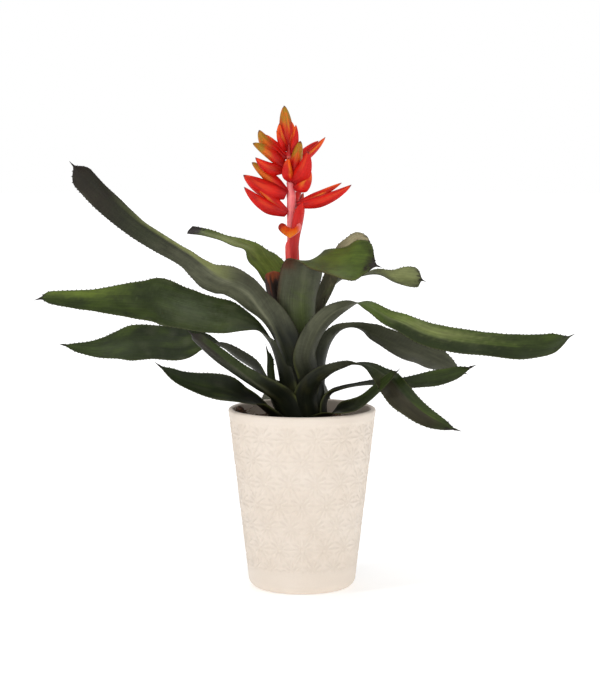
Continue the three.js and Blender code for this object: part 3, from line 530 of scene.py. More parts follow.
def along(stations, samples):
    """A smooth line through rows that begin with x, y, z, read at shares of its length, and its length."""
    p = np.asarray(stations, float)
    p = np.vstack([2 * p[0] - p[1], p, 2 * p[-1] - p[-2]])
    p[0, 3:] = p[1, 3:]
    p[-1, 3:] = p[-2, 3:]
    out = []
    u = np.linspace(0, 1, CURVE_STEPS, endpoint=False)[:, None]
    for p0, p1, p2, p3 in zip(p, p[1:], p[2:], p[3:]):
        d0, d1, d2 = (max(np.linalg.norm(step[:3]) ** 0.5, 1e-4) for step in (p1 - p0, p2 - p1, p3 - p2))
        m1 = ((p1 - p0) / d0 - (p2 - p0) / (d0 + d1) + (p2 - p1) / d1) * d1
        m2 = ((p2 - p1) / d1 - (p3 - p1) / (d1 + d2) + (p3 - p2) / d2) * d1
        out.append((2 * u**3 - 3 * u**2 + 1) * p1 + (u**3 - 2 * u**2 + u) * m1
                   + (3 * u**2 - 2 * u**3) * p2 + (u**3 - u**2) * m2)
    out = np.vstack(out + [p[-2:-1]])
    arc = np.r_[0, np.cumsum(np.linalg.norm(np.diff(out[:, :3], axis=0), axis=1))]
    at = np.asarray(samples) * arc[-1]
    return np.stack([np.interp(at, arc, column) for column in out.T], 1), arc[-1]


class Body:
    """Vertices, faces, colours and surface coordinates gathered into one mesh."""

    def __init__(self):
        self.points, self.faces, self.paint, self.uv = [], [], [], []
        self.count = 0

    def add(self, points, faces, paint, uv=None):
        points = np.asarray(points, float).reshape(-1, 3)
        paint = np.broadcast_to(paint, (len(points), 4)) if np.ndim(paint) == 1 else paint.reshape(-1, 4)
        self.points.append(points)
        self.paint.append(paint)
        self.uv.append(np.zeros((len(points), 2)) if uv is None else uv.reshape(-1, 2))
        self.faces += [[v + self.count for v in face] for face in faces]
        self.count += len(points)

    def piece(self, name, material, slot, *replaces):
        mesh = bpy.data.meshes.new(name)
        mesh.from_pydata((np.vstack(self.points) * MM).tolist(), [], self.faces)
        mesh.polygons.foreach_set("use_smooth", [True] * len(mesh.polygons))
        colours = mesh.color_attributes.new("Paint", "FLOAT_COLOR", "POINT")
        colours.data.foreach_set("color", np.vstack(self.paint).astype(np.float32).ravel())
        corners = np.zeros(len(mesh.loops), np.int32)
        mesh.loops.foreach_get("vertex_index", corners)
        layer = mesh.uv_layers.new(name="Surface")
        layer.data.foreach_set("uv", np.vstack(self.uv)[corners].astype(np.float32).ravel())
        mesh.materials.append(material)
        mesh.update()
        obj = linked(name, mesh)
        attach(obj, "root")
        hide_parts(*replaces)


def linked(name, data):
    """A new object in the scene."""
    obj = bpy.data.objects.new(name, data)
    bpy.context.scene.collection.objects.link(obj)
    return obj


def sheet_faces(rows, columns, flip):
    """Quads over a grid of vertices that are numbered row by row."""
    i, k = np.meshgrid(np.arange(rows - 1), np.arange(columns - 1), indexing="ij")
    a = (i * columns + k).ravel()
    quads = np.stack([a, a + 1, a + columns + 1, a + columns], 1)
    return (quads[:, ::-1] if flip else quads).tolist()


def ring_faces(rings, count):
    """Quads and end faces of a closed body through rings of vertices."""
    last = (rings - 1) * count
    pairs = [(i + k, i + (k + 1) % count) for i in range(0, last, count) for k in range(count)]
    quads = [[a, b, b + count, a + count] for a, b in pairs]
    return quads + [list(reversed(range(count))), list(range(last, last + count))]


def blade_frames(blade, rows):
    """The midrib's sizes and points, with the directions along, across and up from the blade."""
    t = np.linspace(0, 1, rows)
    stations = filled(blade.stations)
    data, length = along(stations, t)
    behind, ahead = (along(stations, np.clip(t + step, 0, 1))[0][:, :3]
                     for step in (-TANGENT_STEP, TANGENT_STEP))
    tangent = unit(ahead - behind)
    heading = math.radians(blade.heading)
    side = np.array([-math.sin(heading), math.cos(heading), 0.0])
    side = unit(side - (tangent @ side)[:, None] * tangent)
    up = np.cross(tangent, side)
    roll = np.radians(data[:, 4])[:, None]
    side, up = side * np.cos(roll) + up * np.sin(roll), up * np.cos(roll) - side * np.sin(roll)
    return data, length, tangent, side, up


def half_widths(blade, width, left):
    """Half the width at each distance from the end: rounded off at the tip, with a spine beyond it."""
    rounding = np.clip((left - blade.spine) / blade.tip, 0, 1)
    point = np.clip(left / blade.spine, 0.12, 1) if blade.spine else 1
    return np.maximum(width / 2 * (1 - (1 - rounding) ** 2), SPINE_RADIUS * point)


def cross_sections(blade, data, d, left, s, seed):
    """Each point's place across and above the midrib, and how far the surface leans there."""
    half = half_widths(blade, data[:, 3], left)[:, None]
    cup = np.radians(np.maximum(data[:, 5], 1))[:, None]
    keel = math.radians(blade.keel)
    turn = keel + cup * np.abs(s)
    across = half * (np.sin(turn) - math.sin(keel)) / cup * np.sign(s)
    rise = half * (math.cos(keel) - np.cos(turn)) / cup
    if blade.name in CREASES:
        across, rise = creased(across, rise, s, d / d[-1], CREASES[blade.name])
    free = smooth(d, SHEATH_LENGTH, 3 * SHEATH_LENGTH)[:, None] * smooth(left, 2, 30)[:, None]
    for sign in (-1, 1):
        wave = ripple(seed + 7 + sign, d / WAVE_LENGTH)[:, None] * WAVE * free
        rise = rise + wave * s ** 2 * (np.sign(s) == sign)
    return across, rise, turn * np.sign(s)


def crease_line(crease, place):
    """Where the crease is across the blade at each share of the length."""
    near, far = crease[1]
    return near + (far - near) * smooth(place, 0.35, 0.6)


def creased(across, rise, s, place, crease):
    """Turns the wing beyond a crease about it."""
    wing, _, angle, (begin, end), _, _ = crease
    share = between(place, begin, begin + CREASE_EASE, end - CREASE_EASE, end)
    turn = wing * math.radians(angle) * share[:, None]
    where = crease_line(crease, place)
    x0, n0 = (np.array([np.interp(wing * w, s, row) for w, row in zip(where, grid)])[:, None]
              for grid in (across, rise))
    beyond = wing * s > where[:, None]
    x, n = across - x0, rise - n0
    turned_x = x * np.cos(turn) - n * np.sin(turn) + x0
    turned_n = x * np.sin(turn) + n * np.cos(turn) + n0
    return np.where(beyond, turned_x, across), np.where(beyond, turned_n, rise)


def blade_body(blade, painter, seed, spiny=True):
    """A channelled blade with a thin margin, softly wavy, and sharp spines along both edges."""
    length = along(filled(blade.stations), [0])[1]
    rows = max(LEAST_ROWS, round(length / BLADE_STEP))
    columns = BLADE_COLUMNS + 1
    data, length, tangent, side, up = blade_frames(blade, rows)
    d = np.linspace(0, length, rows)
    left = length - d
    s = np.linspace(-1, 1, columns)
    s = np.sign(s) * (1 - (1 - np.abs(s)) ** MARGIN_CROWDING)
    across, rise, lean = cross_sections(blade, data, d, left, s, seed)
    thickness = RIB_THICKNESS * (1 - np.abs(s)) + MARGIN_THICKNESS * np.abs(s)
    thickness = thickness * np.clip(left / TIP_THINNING, TIP_THICKNESS, 1)[:, None]
    places = [np.broadcast_to(place, across.shape) for place in (d[:, None], left[:, None], s)]
    body = Body()
    grids = []
    for face in (1, -1):
        x = across - np.sin(lean) * face * thickness / 2
        n = rise + np.cos(lean) * face * thickness / 2
        grids.append(data[:, None, :3] + x[..., None] * side[:, None] + n[..., None] * up[:, None])
        uv = np.stack([across / UV_UNIT + (face < 0) * LOWER_FACE_UV, places[0] / UV_UNIT], -1)
        body.add(grids[-1], sheet_faces(rows, columns, face < 0), painter(*places, across, face), uv)
    lower = rows * columns
    for i in range(rows - 1):
        a0, b0 = i * columns, (i + 1) * columns
        a1, b1 = a0 + BLADE_COLUMNS, b0 + BLADE_COLUMNS
        body.faces += [[a0, b0, lower + b0, lower + a0], [a1, lower + a1, lower + b1, b1]]
    for k in range(BLADE_COLUMNS):
        e = (rows - 1) * columns + k
        body.faces += [[k, lower + k, lower + k + 1, k + 1], [e, e + 1, lower + e + 1, lower + e]]
    if spiny:
        add_spines(body, grids, d, tangent, seed)
    return body


def add_spines(body, grids, d, tangent, seed):
    """Curved spines that lean towards the tip, a little uneven in place and size."""
    rng = np.random.default_rng(seed)
    faces = [[3, 2, 1, 0]]
    faces += [[k, (k + 1) % 4, 4 + (k + 1) % 4, 4 + k] for k in range(4)]
    faces += [[4 + k, 4 + (k + 1) % 4, 8] for k in range(4)]
    colours = np.array([[*SPINE_ROOT, 0.3]] * 4 + [[*SPINE_TIP, 0.3]] * 5)
    for edge, inner in ((0, 1), (-1, -2)):
        line = (grids[0][:, edge] + grids[1][:, edge]) / 2
        outward = unit(line - (grids[0][:, inner] + grids[1][:, inner]) / 2)
        at = SPINE_START
        while at < d[-1] - SPINE_END_ROOM:
            at += SPINE_STEP * rng.uniform(0.75, 1.25)
            size = SPINE_HEIGHT * rng.uniform(0.7, 1.15)
            p = np.array([np.interp(at, d, line[:, k]) for k in range(3)])
            i = min(np.searchsorted(d, at), len(d) - 1)
            t, o = tangent[i], outward[i]
            n = np.cross(t, o)
            root = [p + u * t + v * n - SPINE_DEPTH * o for u, v in SPINE_FOOT]
            middle = [p + (c - p) * 0.55 + (0.45 * size + 0.2) * o + 0.25 * size * t for c in root]
            body.add(root + middle + [p + o * size + 0.75 * size * t], faces, colours)


def leaf_painter(blade, seed):
    """The colour over a leaf, dark at its foot partly as painted shade, and lighter along the midrib as a
    painted highlight. The fourth channel is how much grey bloom lies on it.
    """
    upper_mid, upper_far, lower_mid, lower_far, brown, blotched = blade.looks

    def paint(d, left, s, across, face):
        def noise(extra, wide, long):
            return ripple(seed + extra, across / wide, d / long)

        def patches(extra, wide, long, start, full, strength):
            return strength * smooth(noise(extra, wide, long), start, full)

        upper = face > 0
        place = d / (d + left)
        begin, end = SHEATHS.get(blade.name, SHEATH_CHANGE)
        near = smooth(d + 3 * noise(10, 9, 60), begin, min(end, 0.75 * d.max()))
        far = smooth(place, 0.5, 0.88)
        mid, end = (upper_mid, upper_far) if upper else (lower_mid, lower_far)
        # Dark towards the foot: partly the sheath's own colour and partly painted shade where the leaves
        # crowd in the heart
        colour = mixed(SHEATH_DARK_AND_SHADE, mixed(mid, end, far), near)
        streaks = noise(0, 2.4, 120)
        colour = mixed(colour * (1 + 0.13 * streaks)[..., None],
                       SHEATH_DARK_AND_SHADE if upper else DARK_GREY * 0.6, patches(*BLOTCHES) * blotched,
                       BRIGHT_GREEN if upper else PALE_GREY, patches(*LIGHTER) * near)
        if blade.name in CREASES:
            colour = wing_paint_and_crease_highlight(colour, CREASES[blade.name], place, s, streaks)
        scaly = smooth(d, 18, 50) * (1 - far) * (0.4 + 0.6 * near)
        colour = mixed(colour, BROWN_BLACK, patches(*SPECKS) * far, OLIVE, patches(*MOTTLE) * (1 - near),
                       PALE_GREY, patches(*SCALES) * scaly)
        for middle, at, spread, width, strength, tint in STAINS.get(blade.name, ()):
            uneven = 1 + 0.35 * noise(4, 4, 7)
            mark = np.exp(-(((place - middle) / spread) ** 2 + ((s - at) / width) ** 2) * uneven)
            colour = mixed(colour, tint, np.clip(strength * mark, 0, 1))
        sheath_edge = smooth(np.abs(s), 0.78, 0.97) * between(d, 2, 14, 30, 70)
        sheath_edge = sheath_edge * smooth(ripple(seed + 5, d / 30), -0.8, 0.8)
        edge = 0.4 * smooth(np.abs(s), 0.93, 1) * smooth(d, 0, 30)
        dead = 1 - smooth(left + 3 * noise(3, 5, 9), brown, brown + 5)
        # The midrib is painted lighter: a painted highlight along it
        colour = mixed(colour * (1 + 0.16 * bump_at(across, 0, 1.2))[..., None],
                       MARGIN_YELLOW, 0.65 * sheath_edge,
                       MARGIN_YELLOW if upper else BROWN_GREY, edge, TIP_BROWN, dead)
        return with_alpha(colour, (0.25 if upper else 0.75) * near * (1 - dead) * (1 - 0.75 * far))

    return paint


def wing_paint_and_crease_highlight(colour, crease, place, s, streaks):
    """The wing's colour beyond a crease, and a pale line along the crease that is a painted highlight."""
    wing, _, _, (_, end), start, tint = crease
    where = crease_line(crease, place)
    share = smooth(wing * s + 0.05 * streaks - where, -0.06, 0.1)
    colour = mixed(colour, tint, 0.9 * share * between(place, start, start + 0.12, end - 0.14, end))
    # A pale line along the crease: a painted highlight where its ridge faces the light
    line = bump_at(wing * s, where, 0.05) * between(place, 0.15, 0.3, 0.55, 0.75)
    return mixed(colour, PALE_GREY, 0.8 * line)


def strap_painter(strap, seed):
    """The colour over a strap-like bract: striped along, changing over its length, with tinted edges."""
    near, far, stripe, change, edges = strap.looks

    def paint(d, left, s, across, face):
        lines = ripple(seed, across / 1.6, d / 80)
        colour = mixed(near, far, smooth(d / (d + left) + 0.05 * lines, *change),
                       stripe, 0.5 * smooth(lines, 0.1, 1.2))
        for sign, tint in zip((-1, 1), edges):
            colour = mixed(colour, tint, 0.9 * smooth(sign * s, 0.5, 0.85))
        return with_alpha(colour * (1.12 if face > 0 else 1))

    return paint


def boat_points(root, tip, width, bow, turn, blunt):
    """A pointed, keeled bract, hollowed on its inner face, with each point's place along and across it."""
    start = np.array(root, float)
    axis = np.array(tip, float) - start
    length = np.linalg.norm(axis)
    axis = axis / length
    back = np.array([0, -1.0, 0]) if axis[2] > 0.9 else np.array([0, 0, -1.0])
    back = unit(back - (axis @ back) * axis)
    back = np.array(Matrix.Rotation(math.radians(turn), 3, Vector(axis)) @ Vector(back))
    side = np.cross(axis, back)
    t = np.linspace(0, 1, BOAT_RINGS) ** 0.9
    full = (BOAT_ROOT + (1 - BOAT_ROOT) * smooth(t, -0.15, 0.42)) * (1 - t ** blunt[0]) ** blunt[1]
    half = width / 2 * np.maximum(full, 0.05 * (1 - 0.6 * t))
    middle = start + np.outer(t * length, axis) + np.outer(4 * bow * t * (1 - t), back)
    rear = np.pi * (np.linspace(0, 1, BOAT_BACK) - 0.5)
    front = np.pi * (0.5 - np.linspace(0, 1, BOAT_FRONT + 2)[1:-1])
    keel = 1 + 0.08 * bump_at(rear, 0, 0.2)
    x = np.r_[BOAT_SLIMNESS * np.sin(rear), 0.9 * BOAT_SLIMNESS * np.sin(front)]
    n = np.r_[np.cos(rear) * keel, -BOAT_HOLLOW * np.cos(front) ** 0.8]
    points = middle[:, None] + half[:, None, None] * (x[:, None] * side + n[:, None] * back)
    lip = np.abs(x) / BOAT_SLIMNESS * (n < BOAT_LIP)
    return points, *np.broadcast_arrays(t[:, None], lip), length


def bract_paint(t, s, kind, seed):
    """Red, with orange margins, purple-red painted shade towards the root, and the tip that its kind has."""
    tip, reach, edge = KINDS[kind]
    streak = ripple(seed, s * 2.2, t * 0.8)
    edge = edge * smooth(np.abs(s) + 0.05 * streak, 0.93, 1.01)
    flecks = smooth(ripple(seed + 2, s * 1.6, t * 2.6), -0.2, 1.2) * 0.65
    # The purple-red towards the root is painted shade where the bracts crowd against the stalk and each other
    colour = mixed(RED, DEEP_RED, 0.45 * smooth(ripple(seed + 1, s * 1.2, t * 1.4), 0, 1.6),
                   PURPLE_RED, 0.6 * (1 - smooth(t + 0.06 * streak, 0.02, 0.34)),
                   YELLOW_ORANGE, edge * smooth(t, 0.15, 0.6),
                   mixed(tip, ORANGE, flecks), 0.9 * smooth(t + 0.09 * streak, reach, reach + 0.35),
                   PURPLE, 0.9 * smooth(t + 0.01 * streak, 0.94, 0.985))
    return with_alpha(colour * (1 + 0.1 * streak)[..., None])


def spray_body(root, bracts, seed):
    body = Body()
    for number, (kind, x, y, z, width, bow, turn) in enumerate(bracts, seed):
        blunt = BLUNT if kind == "olive" else POINTED
        points, t, s, length = boat_points(root, (x, y, z), width, bow, turn, blunt)
        uv = np.stack([s * width / (2 * UV_UNIT) + number % 7, t * length / UV_UNIT], -1)
        body.add(points, ring_faces(*points.shape[:2]), bract_paint(t, s, kind, number), uv)
    return body


def stalk_body():
    """The round stalk, slightly swollen at its joints."""
    length = along(STALK, [0])[1]
    rows = round(length / STALK_STEP)
    data, _ = along(STALK, np.linspace(0, 1, rows))
    z = data[:, 2]
    radius = data[:, 3] + sum(0.35 * bump_at(z, joint, 0.9) for joint in STALK_JOINTS)
    angle = circle(STALK_SIDES)
    ring = polar(1, angle, 0)
    points = data[:, None, :3] + radius[:, None, None] * ring
    uv = np.stack(np.broadcast_arrays(angle * 0.37, z[:, None] / UV_UNIT), -1)
    body = Body()
    body.add(points, ring_faces(rows, STALK_SIDES), stalk_paint(points[..., 2], ring), uv)
    return body


def stalk_paint(z, ring):
    x, y = (np.broadcast_to(way, z.shape) for way in (ring[:, 0], ring[:, 1]))
    colour = mixed(PINK, PALE_PINK, smooth(ripple(31, x * 1.2, y * 1.2, z / 70), -0.4, 1.4))
    colour = mixed(WRAP_LIGHT * 0.8, colour, smooth(z, 250, 290), RED, smooth(z, 319, 325))
    for joint in STALK_JOINTS:
        colour = mixed(colour, WRAP_LIGHT, 0.6 * bump_at(z, joint + 0.9, 0.5))
    return with_alpha(colour * (1 + 0.08 * ripple(32, x * 5, y * 5, z / 40))[..., None])


def star_relief(angle, z):
    """Height of the pressed lattice of twelve-rayed stars, from 0 to 1."""
    pitch = TURN / STAR_COLUMNS
    row_height = STAR_SPACING * math.sqrt(3) / 2
    reach = STAR_SPACING / 2
    best = np.full(z.shape, 1e9)
    height = np.zeros(z.shape)
    row = np.round((z - POT_HEIGHT / 2) / row_height)
    for line in (row - 1, row, row + 1):
        shift = np.mod(line, 2) * pitch / 2
        column = np.round((angle - shift) / pitch)
        x = (angle - shift - column * pitch) * STAR_SPACING / pitch
        y = z - POT_HEIGHT / 2 - line * row_height
        rho = np.hypot(x, y)
        off = np.abs(np.mod(np.arctan2(y, x) * STAR_RAYS / TURN + 0.5, 1) - 0.5) * TURN / STAR_RAYS * rho
        outwards = np.clip((rho - STAR_HEART) / (reach - STAR_HEART), 0, 1)
        belly = 0.25 + 0.85 * np.sin(np.pi * outwards) ** 0.7
        petal = (1 - smooth(off, belly * 0.45, belly + 0.35)) * between(rho, 1.9, 2.8, reach - 1, reach + 0.2)
        button = 0.8 * (1 - smooth(rho, 0.7, 1.5))
        height = np.where(rho < best, np.maximum(petal, button), height)
        best = np.minimum(best, rho)
    return height * between(z, *RELIEF_SPAN)


def pot_profile():
    """Rows of radius and height from the underside up the outside, over the rim and down inside."""
    rows = [(POT_SOLE_RADIUS, 0)]
    for a in np.radians(np.linspace(0, 90, HEEL_STEPS)):
        rows.append((POT_FOOT_RADIUS + (POT_HEEL_RADIUS - POT_FOOT_RADIUS) * math.sin(a),
                     POT_HEEL_HEIGHT * (1 - math.cos(a))))
    lip = POT_WALL / 2
    top = POT_HEIGHT - lip
    for up in np.linspace(0, 1, round((top - POT_HEEL_HEIGHT) / POT_STEP))[1:-1]:
        rows.append((POT_HEEL_RADIUS + (POT_RIM_RADIUS - POT_HEEL_RADIUS) * up,
                     POT_HEEL_HEIGHT + (top - POT_HEEL_HEIGHT) * up))
    outside = len(rows)
    for a in np.radians(np.linspace(0, 180, RIM_STEPS)):
        rows.append((POT_RIM_RADIUS - lip + lip * math.cos(a), top + lip * math.sin(a)))
    rows += [(POT_RIM_RADIUS - POT_WALL - step, height) for step, height in INNER_STEPS]
    rows.append((POT_HEEL_RADIUS - POT_WALL, POT_FLOOR))
    return np.array(rows), outside


def pot_body():
    rows, outside = pot_profile()
    a, z = np.meshgrid(circle(POT_SIDES), rows[:, 1])
    on_wall = (np.arange(len(rows)) < outside)[:, None]
    r = rows[:, :1] - RELIEF * (1 - star_relief(a, z)) * on_wall * between(z, *RELIEF_SPAN)
    body = Body()
    uv = np.stack([a * 5, z / UV_UNIT], -1)
    body.add(polar(r, a, z), ring_faces(len(rows), POT_SIDES), POT_PAINT, uv)
    return body


def soil_height(x, y):
    heap = HEAP_HEIGHT * np.exp(-((x - HEAP_PLACE[0]) ** 2 + (y - HEAP_PLACE[1]) ** 2) / HEAP_RADIUS ** 2)
    waves = [share * ripple(SOIL_SEED + k, x / size, y / size) for k, share, size in SOIL_WAVES]
    return SOIL_TOP - 0.6 + sum(waves) + heap


def soil_body():
    """Coir in a closed plug, with a rough top, loose crumbs and short fibres."""
    rng = np.random.default_rng(SOIL_SEED)
    edge = POT_RIM_RADIUS - POT_WALL - SOIL_ROOM
    foot = POT_HEEL_RADIUS - POT_WALL - SOIL_FOOT_ROOM
    angle = circle(SOIL_SPOKES)
    r, a = np.meshgrid(np.linspace(0.4, edge, SOIL_RINGS), angle, indexing="ij")
    x, y = r * np.cos(a), r * np.sin(a)
    top = np.stack([x, y, soil_height(x, y)], -1)[::-1]
    bottom = polar(foot, angle, POT_FLOOR + SOIL_FOOT_ROOM)
    points = np.concatenate([bottom[None], top])
    shade = smooth(ripple(SOIL_SEED + 4, points[..., 0] / 3, points[..., 1] / 3), -1.2, 1.4)
    paint = with_alpha(mixed(COIR_DARK, COIR, shade))
    body = Body()
    body.add(points, ring_faces(len(points), SOIL_SPOKES), paint, points[..., :2] / UV_UNIT)
    for count, reach, add_bit in ((SOIL_CHIPS, 0.96, add_chip), (SOIL_FIBRES, 0.9, add_fibre)):
        for _ in range(count):
            far, a = edge * math.sqrt(rng.uniform(0.12, reach)), rng.uniform(0, TURN)
            x, y = far * math.cos(a), far * math.sin(a)
            add_bit(body, rng, np.array([x, y, soil_height(x, y) + 0.2]))
    return body


def add_chip(body, rng, at):
    """An irregular crumb: a stretched, dented eight-sided block."""
    size = rng.uniform(0.5, 1.5) * np.array([1, rng.uniform(0.35, 0.8), rng.uniform(0.25, 0.5)])
    corners = np.array([[x, y, z] for z in (-1, 1) for y in (-1, 1) for x in (-1, 1)], float)
    corners = corners * size / 1.4 + rng.normal(0, 0.12, (8, 3))
    turn = Matrix.Rotation(rng.uniform(0, TURN), 3, "Z")
    tilt = Matrix.Rotation(rng.normal(0, 0.35), 3, "Y")
    faces = [[0, 2, 3, 1], [4, 5, 7, 6], [0, 1, 5, 4], [2, 6, 7, 3], [0, 4, 6, 2], [1, 3, 7, 5]]
    colour = COIR_DARK + (COIR_LIGHT - COIR_DARK) * rng.uniform(0, 1) ** 1.6
    body.add(corners @ np.array(turn @ tilt).T + at, faces, [*colour, 0])


def add_fibre(body, rng, at):
    """A thin curved strand that lies on the soil and lifts at one end."""
    pale = rng.uniform() < PALE_FIBRES
    start, bend = rng.uniform(0, TURN), rng.normal(0, 0.5)
    length, lift = rng.uniform(4, 12), abs(rng.normal(0, 0.18)) + (0.12 if pale else 0)
    t = np.linspace(0, 1, FIBRE_POINTS)
    heading = start + bend * t
    x, y = (np.cumsum(way(heading)) * length / FIBRE_POINTS for way in (np.cos, np.sin))
    points = np.stack([x, y, 0.3 + lift * length * t**1.6], 1) + at
    if np.hypot(points[:, 0], points[:, 1]).max() > POT_RIM_RADIUS - POT_WALL - 2:
        return
    ring = np.array([[0, 1], [0.87, -0.5], [-0.87, -0.5]]) * (0.09 if pale else 0.16)
    across = np.stack([-np.sin(heading), np.cos(heading), 0 * t], 1)
    loops = points[:, None] + ring[:, :1] * across[:, None] + ring[:, 1:] * np.array([0, 0, 1.0])
    colour = WHITE_FIBRE if pale else COIR + (COIR_LIGHT - COIR) * rng.uniform()
    body.add(loops, ring_faces(FIBRE_POINTS, 3), [*colour, 0])


def new_material(name, **inputs):
    """A material and its shader. An input is named with _ for each space."""
    material = bpy.data.materials.new(name)
    material.use_nodes = True
    shader = material.node_tree.nodes["Principled BSDF"]
    for key, value in inputs.items():
        shader.inputs[key.replace("_", " ")].default_value = value
    return material, material.node_tree, shader


def feed(socket, value):
    """Sets a socket to a number or a colour, or links the socket that feeds it."""
    if isinstance(value, bpy.types.NodeSocket):
        socket.id_data.links.new(value, socket)
    else:
        socket.default_value = value


def add_node(tree, kind, inputs=None, **settings):
    node = tree.nodes.new(kind)
    for key, value in settings.items():
        setattr(node, key, value)
    for key, value in (inputs or {}).items():
        feed(node.inputs[key], value)
    return node


def object_place(tree):
    return add_node(tree, "ShaderNodeTexCoord").outputs["Object"]


def noise_over(tree, scale, detail=3, roughness=0.55, source=None):
    """Noise over the surface coordinates, or over another source, with its own scale each way."""
    source = source or add_node(tree, "ShaderNodeUVMap", uv_map="Surface").outputs["UV"]
    place = add_node(tree, "ShaderNodeMapping", {"Vector": source, "Scale": scale}).outputs["Vector"]
    inputs = {"Vector": place, "Scale": 1, "Detail": detail, "Roughness": roughness}
    return add_node(tree, "ShaderNodeTexNoise", inputs).outputs["Fac"]


def ranged(value, low, high, to_low, to_high):
    inputs = {"Value": value, "From Min": low, "From Max": high, "To Min": to_low, "To Max": to_high}
    return add_node(value.id_data, "ShaderNodeMapRange", inputs).outputs["Result"]


def combined(operation, a, b):
    return add_node(a.id_data, "ShaderNodeMath", {0: a, 1: b}, operation=operation).outputs["Value"]


def scaled(colour, factor, *limits):
    """The colour times the factor, which is first brought into the limits."""
    inputs = {0: colour, "Scale": ranged(factor, *limits)}
    return add_node(colour.id_data, "ShaderNodeVectorMath", inputs, operation="SCALE").outputs["Vector"]


def blended(factor, a, b):
    return add_node(factor.id_data, "ShaderNodeMix", {0: factor, 6: a, 7: b}, data_type="RGBA").outputs[2]


def painted(tree):
    return add_node(tree, "ShaderNodeAttribute", attribute_name="Paint", attribute_type="GEOMETRY").outputs


def finish(shader, colour, roughness, height, strength, distance):
    """Feeds the shader its colour and roughness, and a bump of the given strength and depth."""
    bump = {"Height": height, "Strength": strength, "Distance": distance}
    feed(shader.inputs["Base Color"], colour)
    feed(shader.inputs["Roughness"], roughness)
    feed(shader.inputs["Normal"], add_node(height.id_data, "ShaderNodeBump", bump).outputs["Normal"])


def leaf_material():
    """Leathery, finely striped along, with grey bloom in faint cross bands where the paint asks for it."""
    material, tree, shader = new_material("leaf", Specular_IOR_Level=0.2)
    paint = painted(tree)
    striae = noise_over(tree, (16, 0.3, 1))
    fine = noise_over(tree, (46, 1.4, 1), detail=2)
    bands = noise_over(tree, (1.1, 7, 1), detail=4, roughness=0.7)
    patches = noise_over(tree, (0.9, 0.5, 1), detail=5, roughness=0.65)
    colour = scaled(paint["Color"], striae, 0.25, 0.75, 0.47, 0.8)
    colour = scaled(colour, fine, 0.2, 0.8, 0.86, 1.14)
    colour = scaled(colour, patches, 0.3, 0.7, 0.78, 1.22)
    bloom = combined("MULTIPLY", ranged(bands, 0.4, 0.75, 0, 0.22), paint["Alpha"])
    dull = combined("MULTIPLY", paint["Alpha"], 0.18)
    rough = combined("ADD", ranged(striae, 0.2, 0.8, 0.34, 0.5), dull)
    height = combined("ADD", striae, combined("MULTIPLY", fine, 0.4))
    finish(shader, blended(bloom, colour, BLOOM), rough, height, 0.35, 0.0004)
    return material


def grained_material(name):
    """The painted colour under one noise, which shades it, roughens it and raises it."""
    grain, detail, shades, rough, bump, inputs = GRAINED[name]
    material, tree, shader = new_material(name, **inputs)
    noise = noise_over(tree, grain, detail, source=object_place(tree) if name == "coir" else None)
    colour = scaled(painted(tree)["Color"], noise, 0.25, 0.75, *shades)
    finish(shader, colour, ranged(noise, 0.2, 0.8, *rough), noise, *bump)
    return material


def pot_material():
    """Warm cream glaze, satin, with faint mottling and pin holes."""
    material, tree, shader = new_material("pot_glaze", Specular_IOR_Level=0.4)
    here = object_place(tree)
    cloud = noise_over(tree, (28, 28, 28), detail=4, source=here)
    grain = noise_over(tree, (900, 900, 900), detail=2, source=here)
    colour = blended(ranged(cloud, 0.3, 0.7, 0, 1), (*POT_CREAM, 1), (*POT_SHADE, 1))
    colour = scaled(colour, grain, 0.3, 0.7, 0.985, 1.015)
    finish(shader, colour, ranged(cloud, 0.3, 0.7, 0.42, 0.54), grain, 0.18, 0.0002)
    return material


def stem_material():
    material, tree, shader = new_material("sheath", Roughness=0.7)
    noise = noise_over(tree, (300, 300, 60), source=object_place(tree))
    feed(shader.inputs["Base Color"], blended(noise, (*SHEATH_DARK_AND_SHADE, 1), (*DEEP_GREEN, 1)))
    return material


def floor_material():
    """Pale and matt, glowing more towards the far edge so that the floor meets the sky unseen."""
    material, tree, shader = new_material("studio_floor", Base_Color=(0.9, 0.9, 0.9, 1), Roughness=0.9,
                                          Specular_IOR_Level=0, Emission_Color=(1, 1, 1, 1))
    far = add_node(tree, "ShaderNodeVectorMath", {0: object_place(tree)}, operation="LENGTH").outputs["Value"]
    feed(shader.inputs["Emission Strength"], ranged(far, 0.4, 1.8, FLOOR_GLOW, FAR_FLOOR_GLOW))
    return material


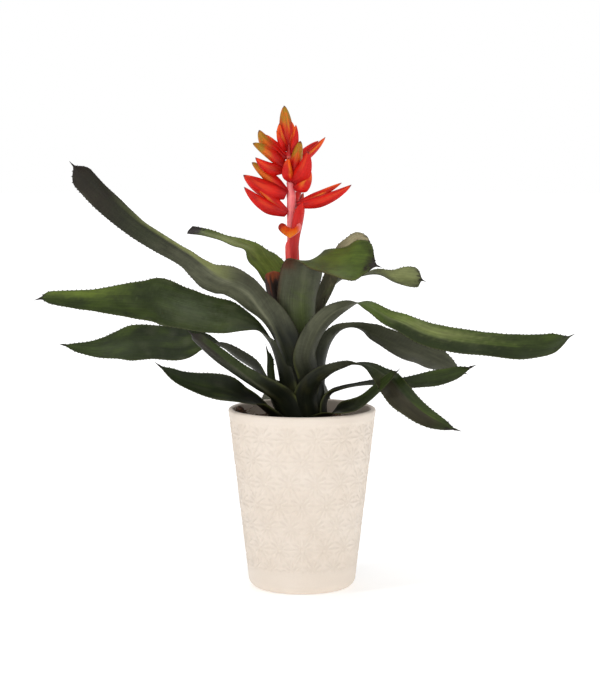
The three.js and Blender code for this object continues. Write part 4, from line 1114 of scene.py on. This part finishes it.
def studio():
    """A wide pale floor under an even white sky, and soft square lamps."""
    mesh = bpy.data.meshes.new("studio_floor")
    mesh.from_pydata(polar(FLOOR_RADIUS, circle(FLOOR_SIDES), 0).tolist(), [], [list(range(FLOOR_SIDES))])
    mesh.materials.append(floor_material())
    floor = linked("studio_floor", mesh)
    floor.location.z = -FLOOR_DROP
    world = bpy.data.worlds.new("studio_sky")
    world.use_nodes = True
    sky = world.node_tree.nodes["Background"]
    seen = add_node(world.node_tree, "ShaderNodeLightPath").outputs["Is Camera Ray"]
    feed(sky.inputs["Strength"], ranged(seen, 0, 1, SKY_LIGHT, 1))
    sky.inputs["Color"].default_value = (1, 1, 1, 1)
    bpy.context.scene.world = world
    for name, place, size, power in LAMPS:
        light = bpy.data.lights.new(name, "AREA")
        light.energy, light.size = power, size
        lamp = linked(name, light)
        lamp.location = place
        lamp.rotation_euler = (Vector(LAMP_TARGET) - Vector(place)).to_track_quat("-Z", "Y").to_euler()
    bpy.context.scene.view_settings.view_transform = "Standard"


def camera():
    pitch = math.radians(CAMERA_PITCH)
    forward = Vector((0, math.cos(pitch), -math.sin(pitch)))
    data = bpy.data.cameras.new("camera")
    data.lens, data.sensor_width = CAMERA_LENS, SENSOR
    obj = linked("camera", data)
    obj.location = (Vector(CAMERA_TARGET) - forward * CAMERA_DISTANCE) * MM
    obj.rotation_euler = forward.to_track_quat("-Z", "Y").to_euler()
    bpy.context.scene.camera = obj


def plant():
    """Every piece of the plant over the node that it replaces. The short stem keeps its own solid."""
    leaf_surface = leaf_material()
    bract_surface = grained_material("bract")
    for number, leaf in enumerate(LEAVES):
        seed = LEAF_SEED + 10 * number
        slot = "dry_leaf" if leaf.name == "dry_curl" else "leaf"
        body = blade_body(leaf, leaf_painter(leaf, seed), seed)
        body.piece("blade_" + leaf.name, leaf_surface, slot, "leaf_" + leaf.name)
    for seed, strap in enumerate(STRAPS, STRAP_SEED):
        slot = {"wrap": "wrap", "brown": "dry_bract"}.get(strap.name, "bract")
        body = blade_body(strap, strap_painter(strap, seed), seed, spiny=False)
        body.piece("strap_" + strap.name, bract_surface, slot, "bract_" + strap.name)
    for number, (name, root, bracts) in enumerate(SPRAYS):
        body = spray_body(root, bracts, SPRAY_SEED + 10 * number)
        body.piece("flowers_" + name, bract_surface, "bract", "spray_" + name)
    stalk_body().piece("stalk", grained_material("stalk"), "stalk", "flower_stalk")
    pot_body().piece("glazed_pot", pot_material(), "pot", "pot")
    soil_body().piece("coir", grained_material("coir"), "soil", "soil")
    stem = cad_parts["short_stem"]
    stem.data.materials.clear()
    stem.data.materials.append(stem_material())


camera()
studio()
plant()
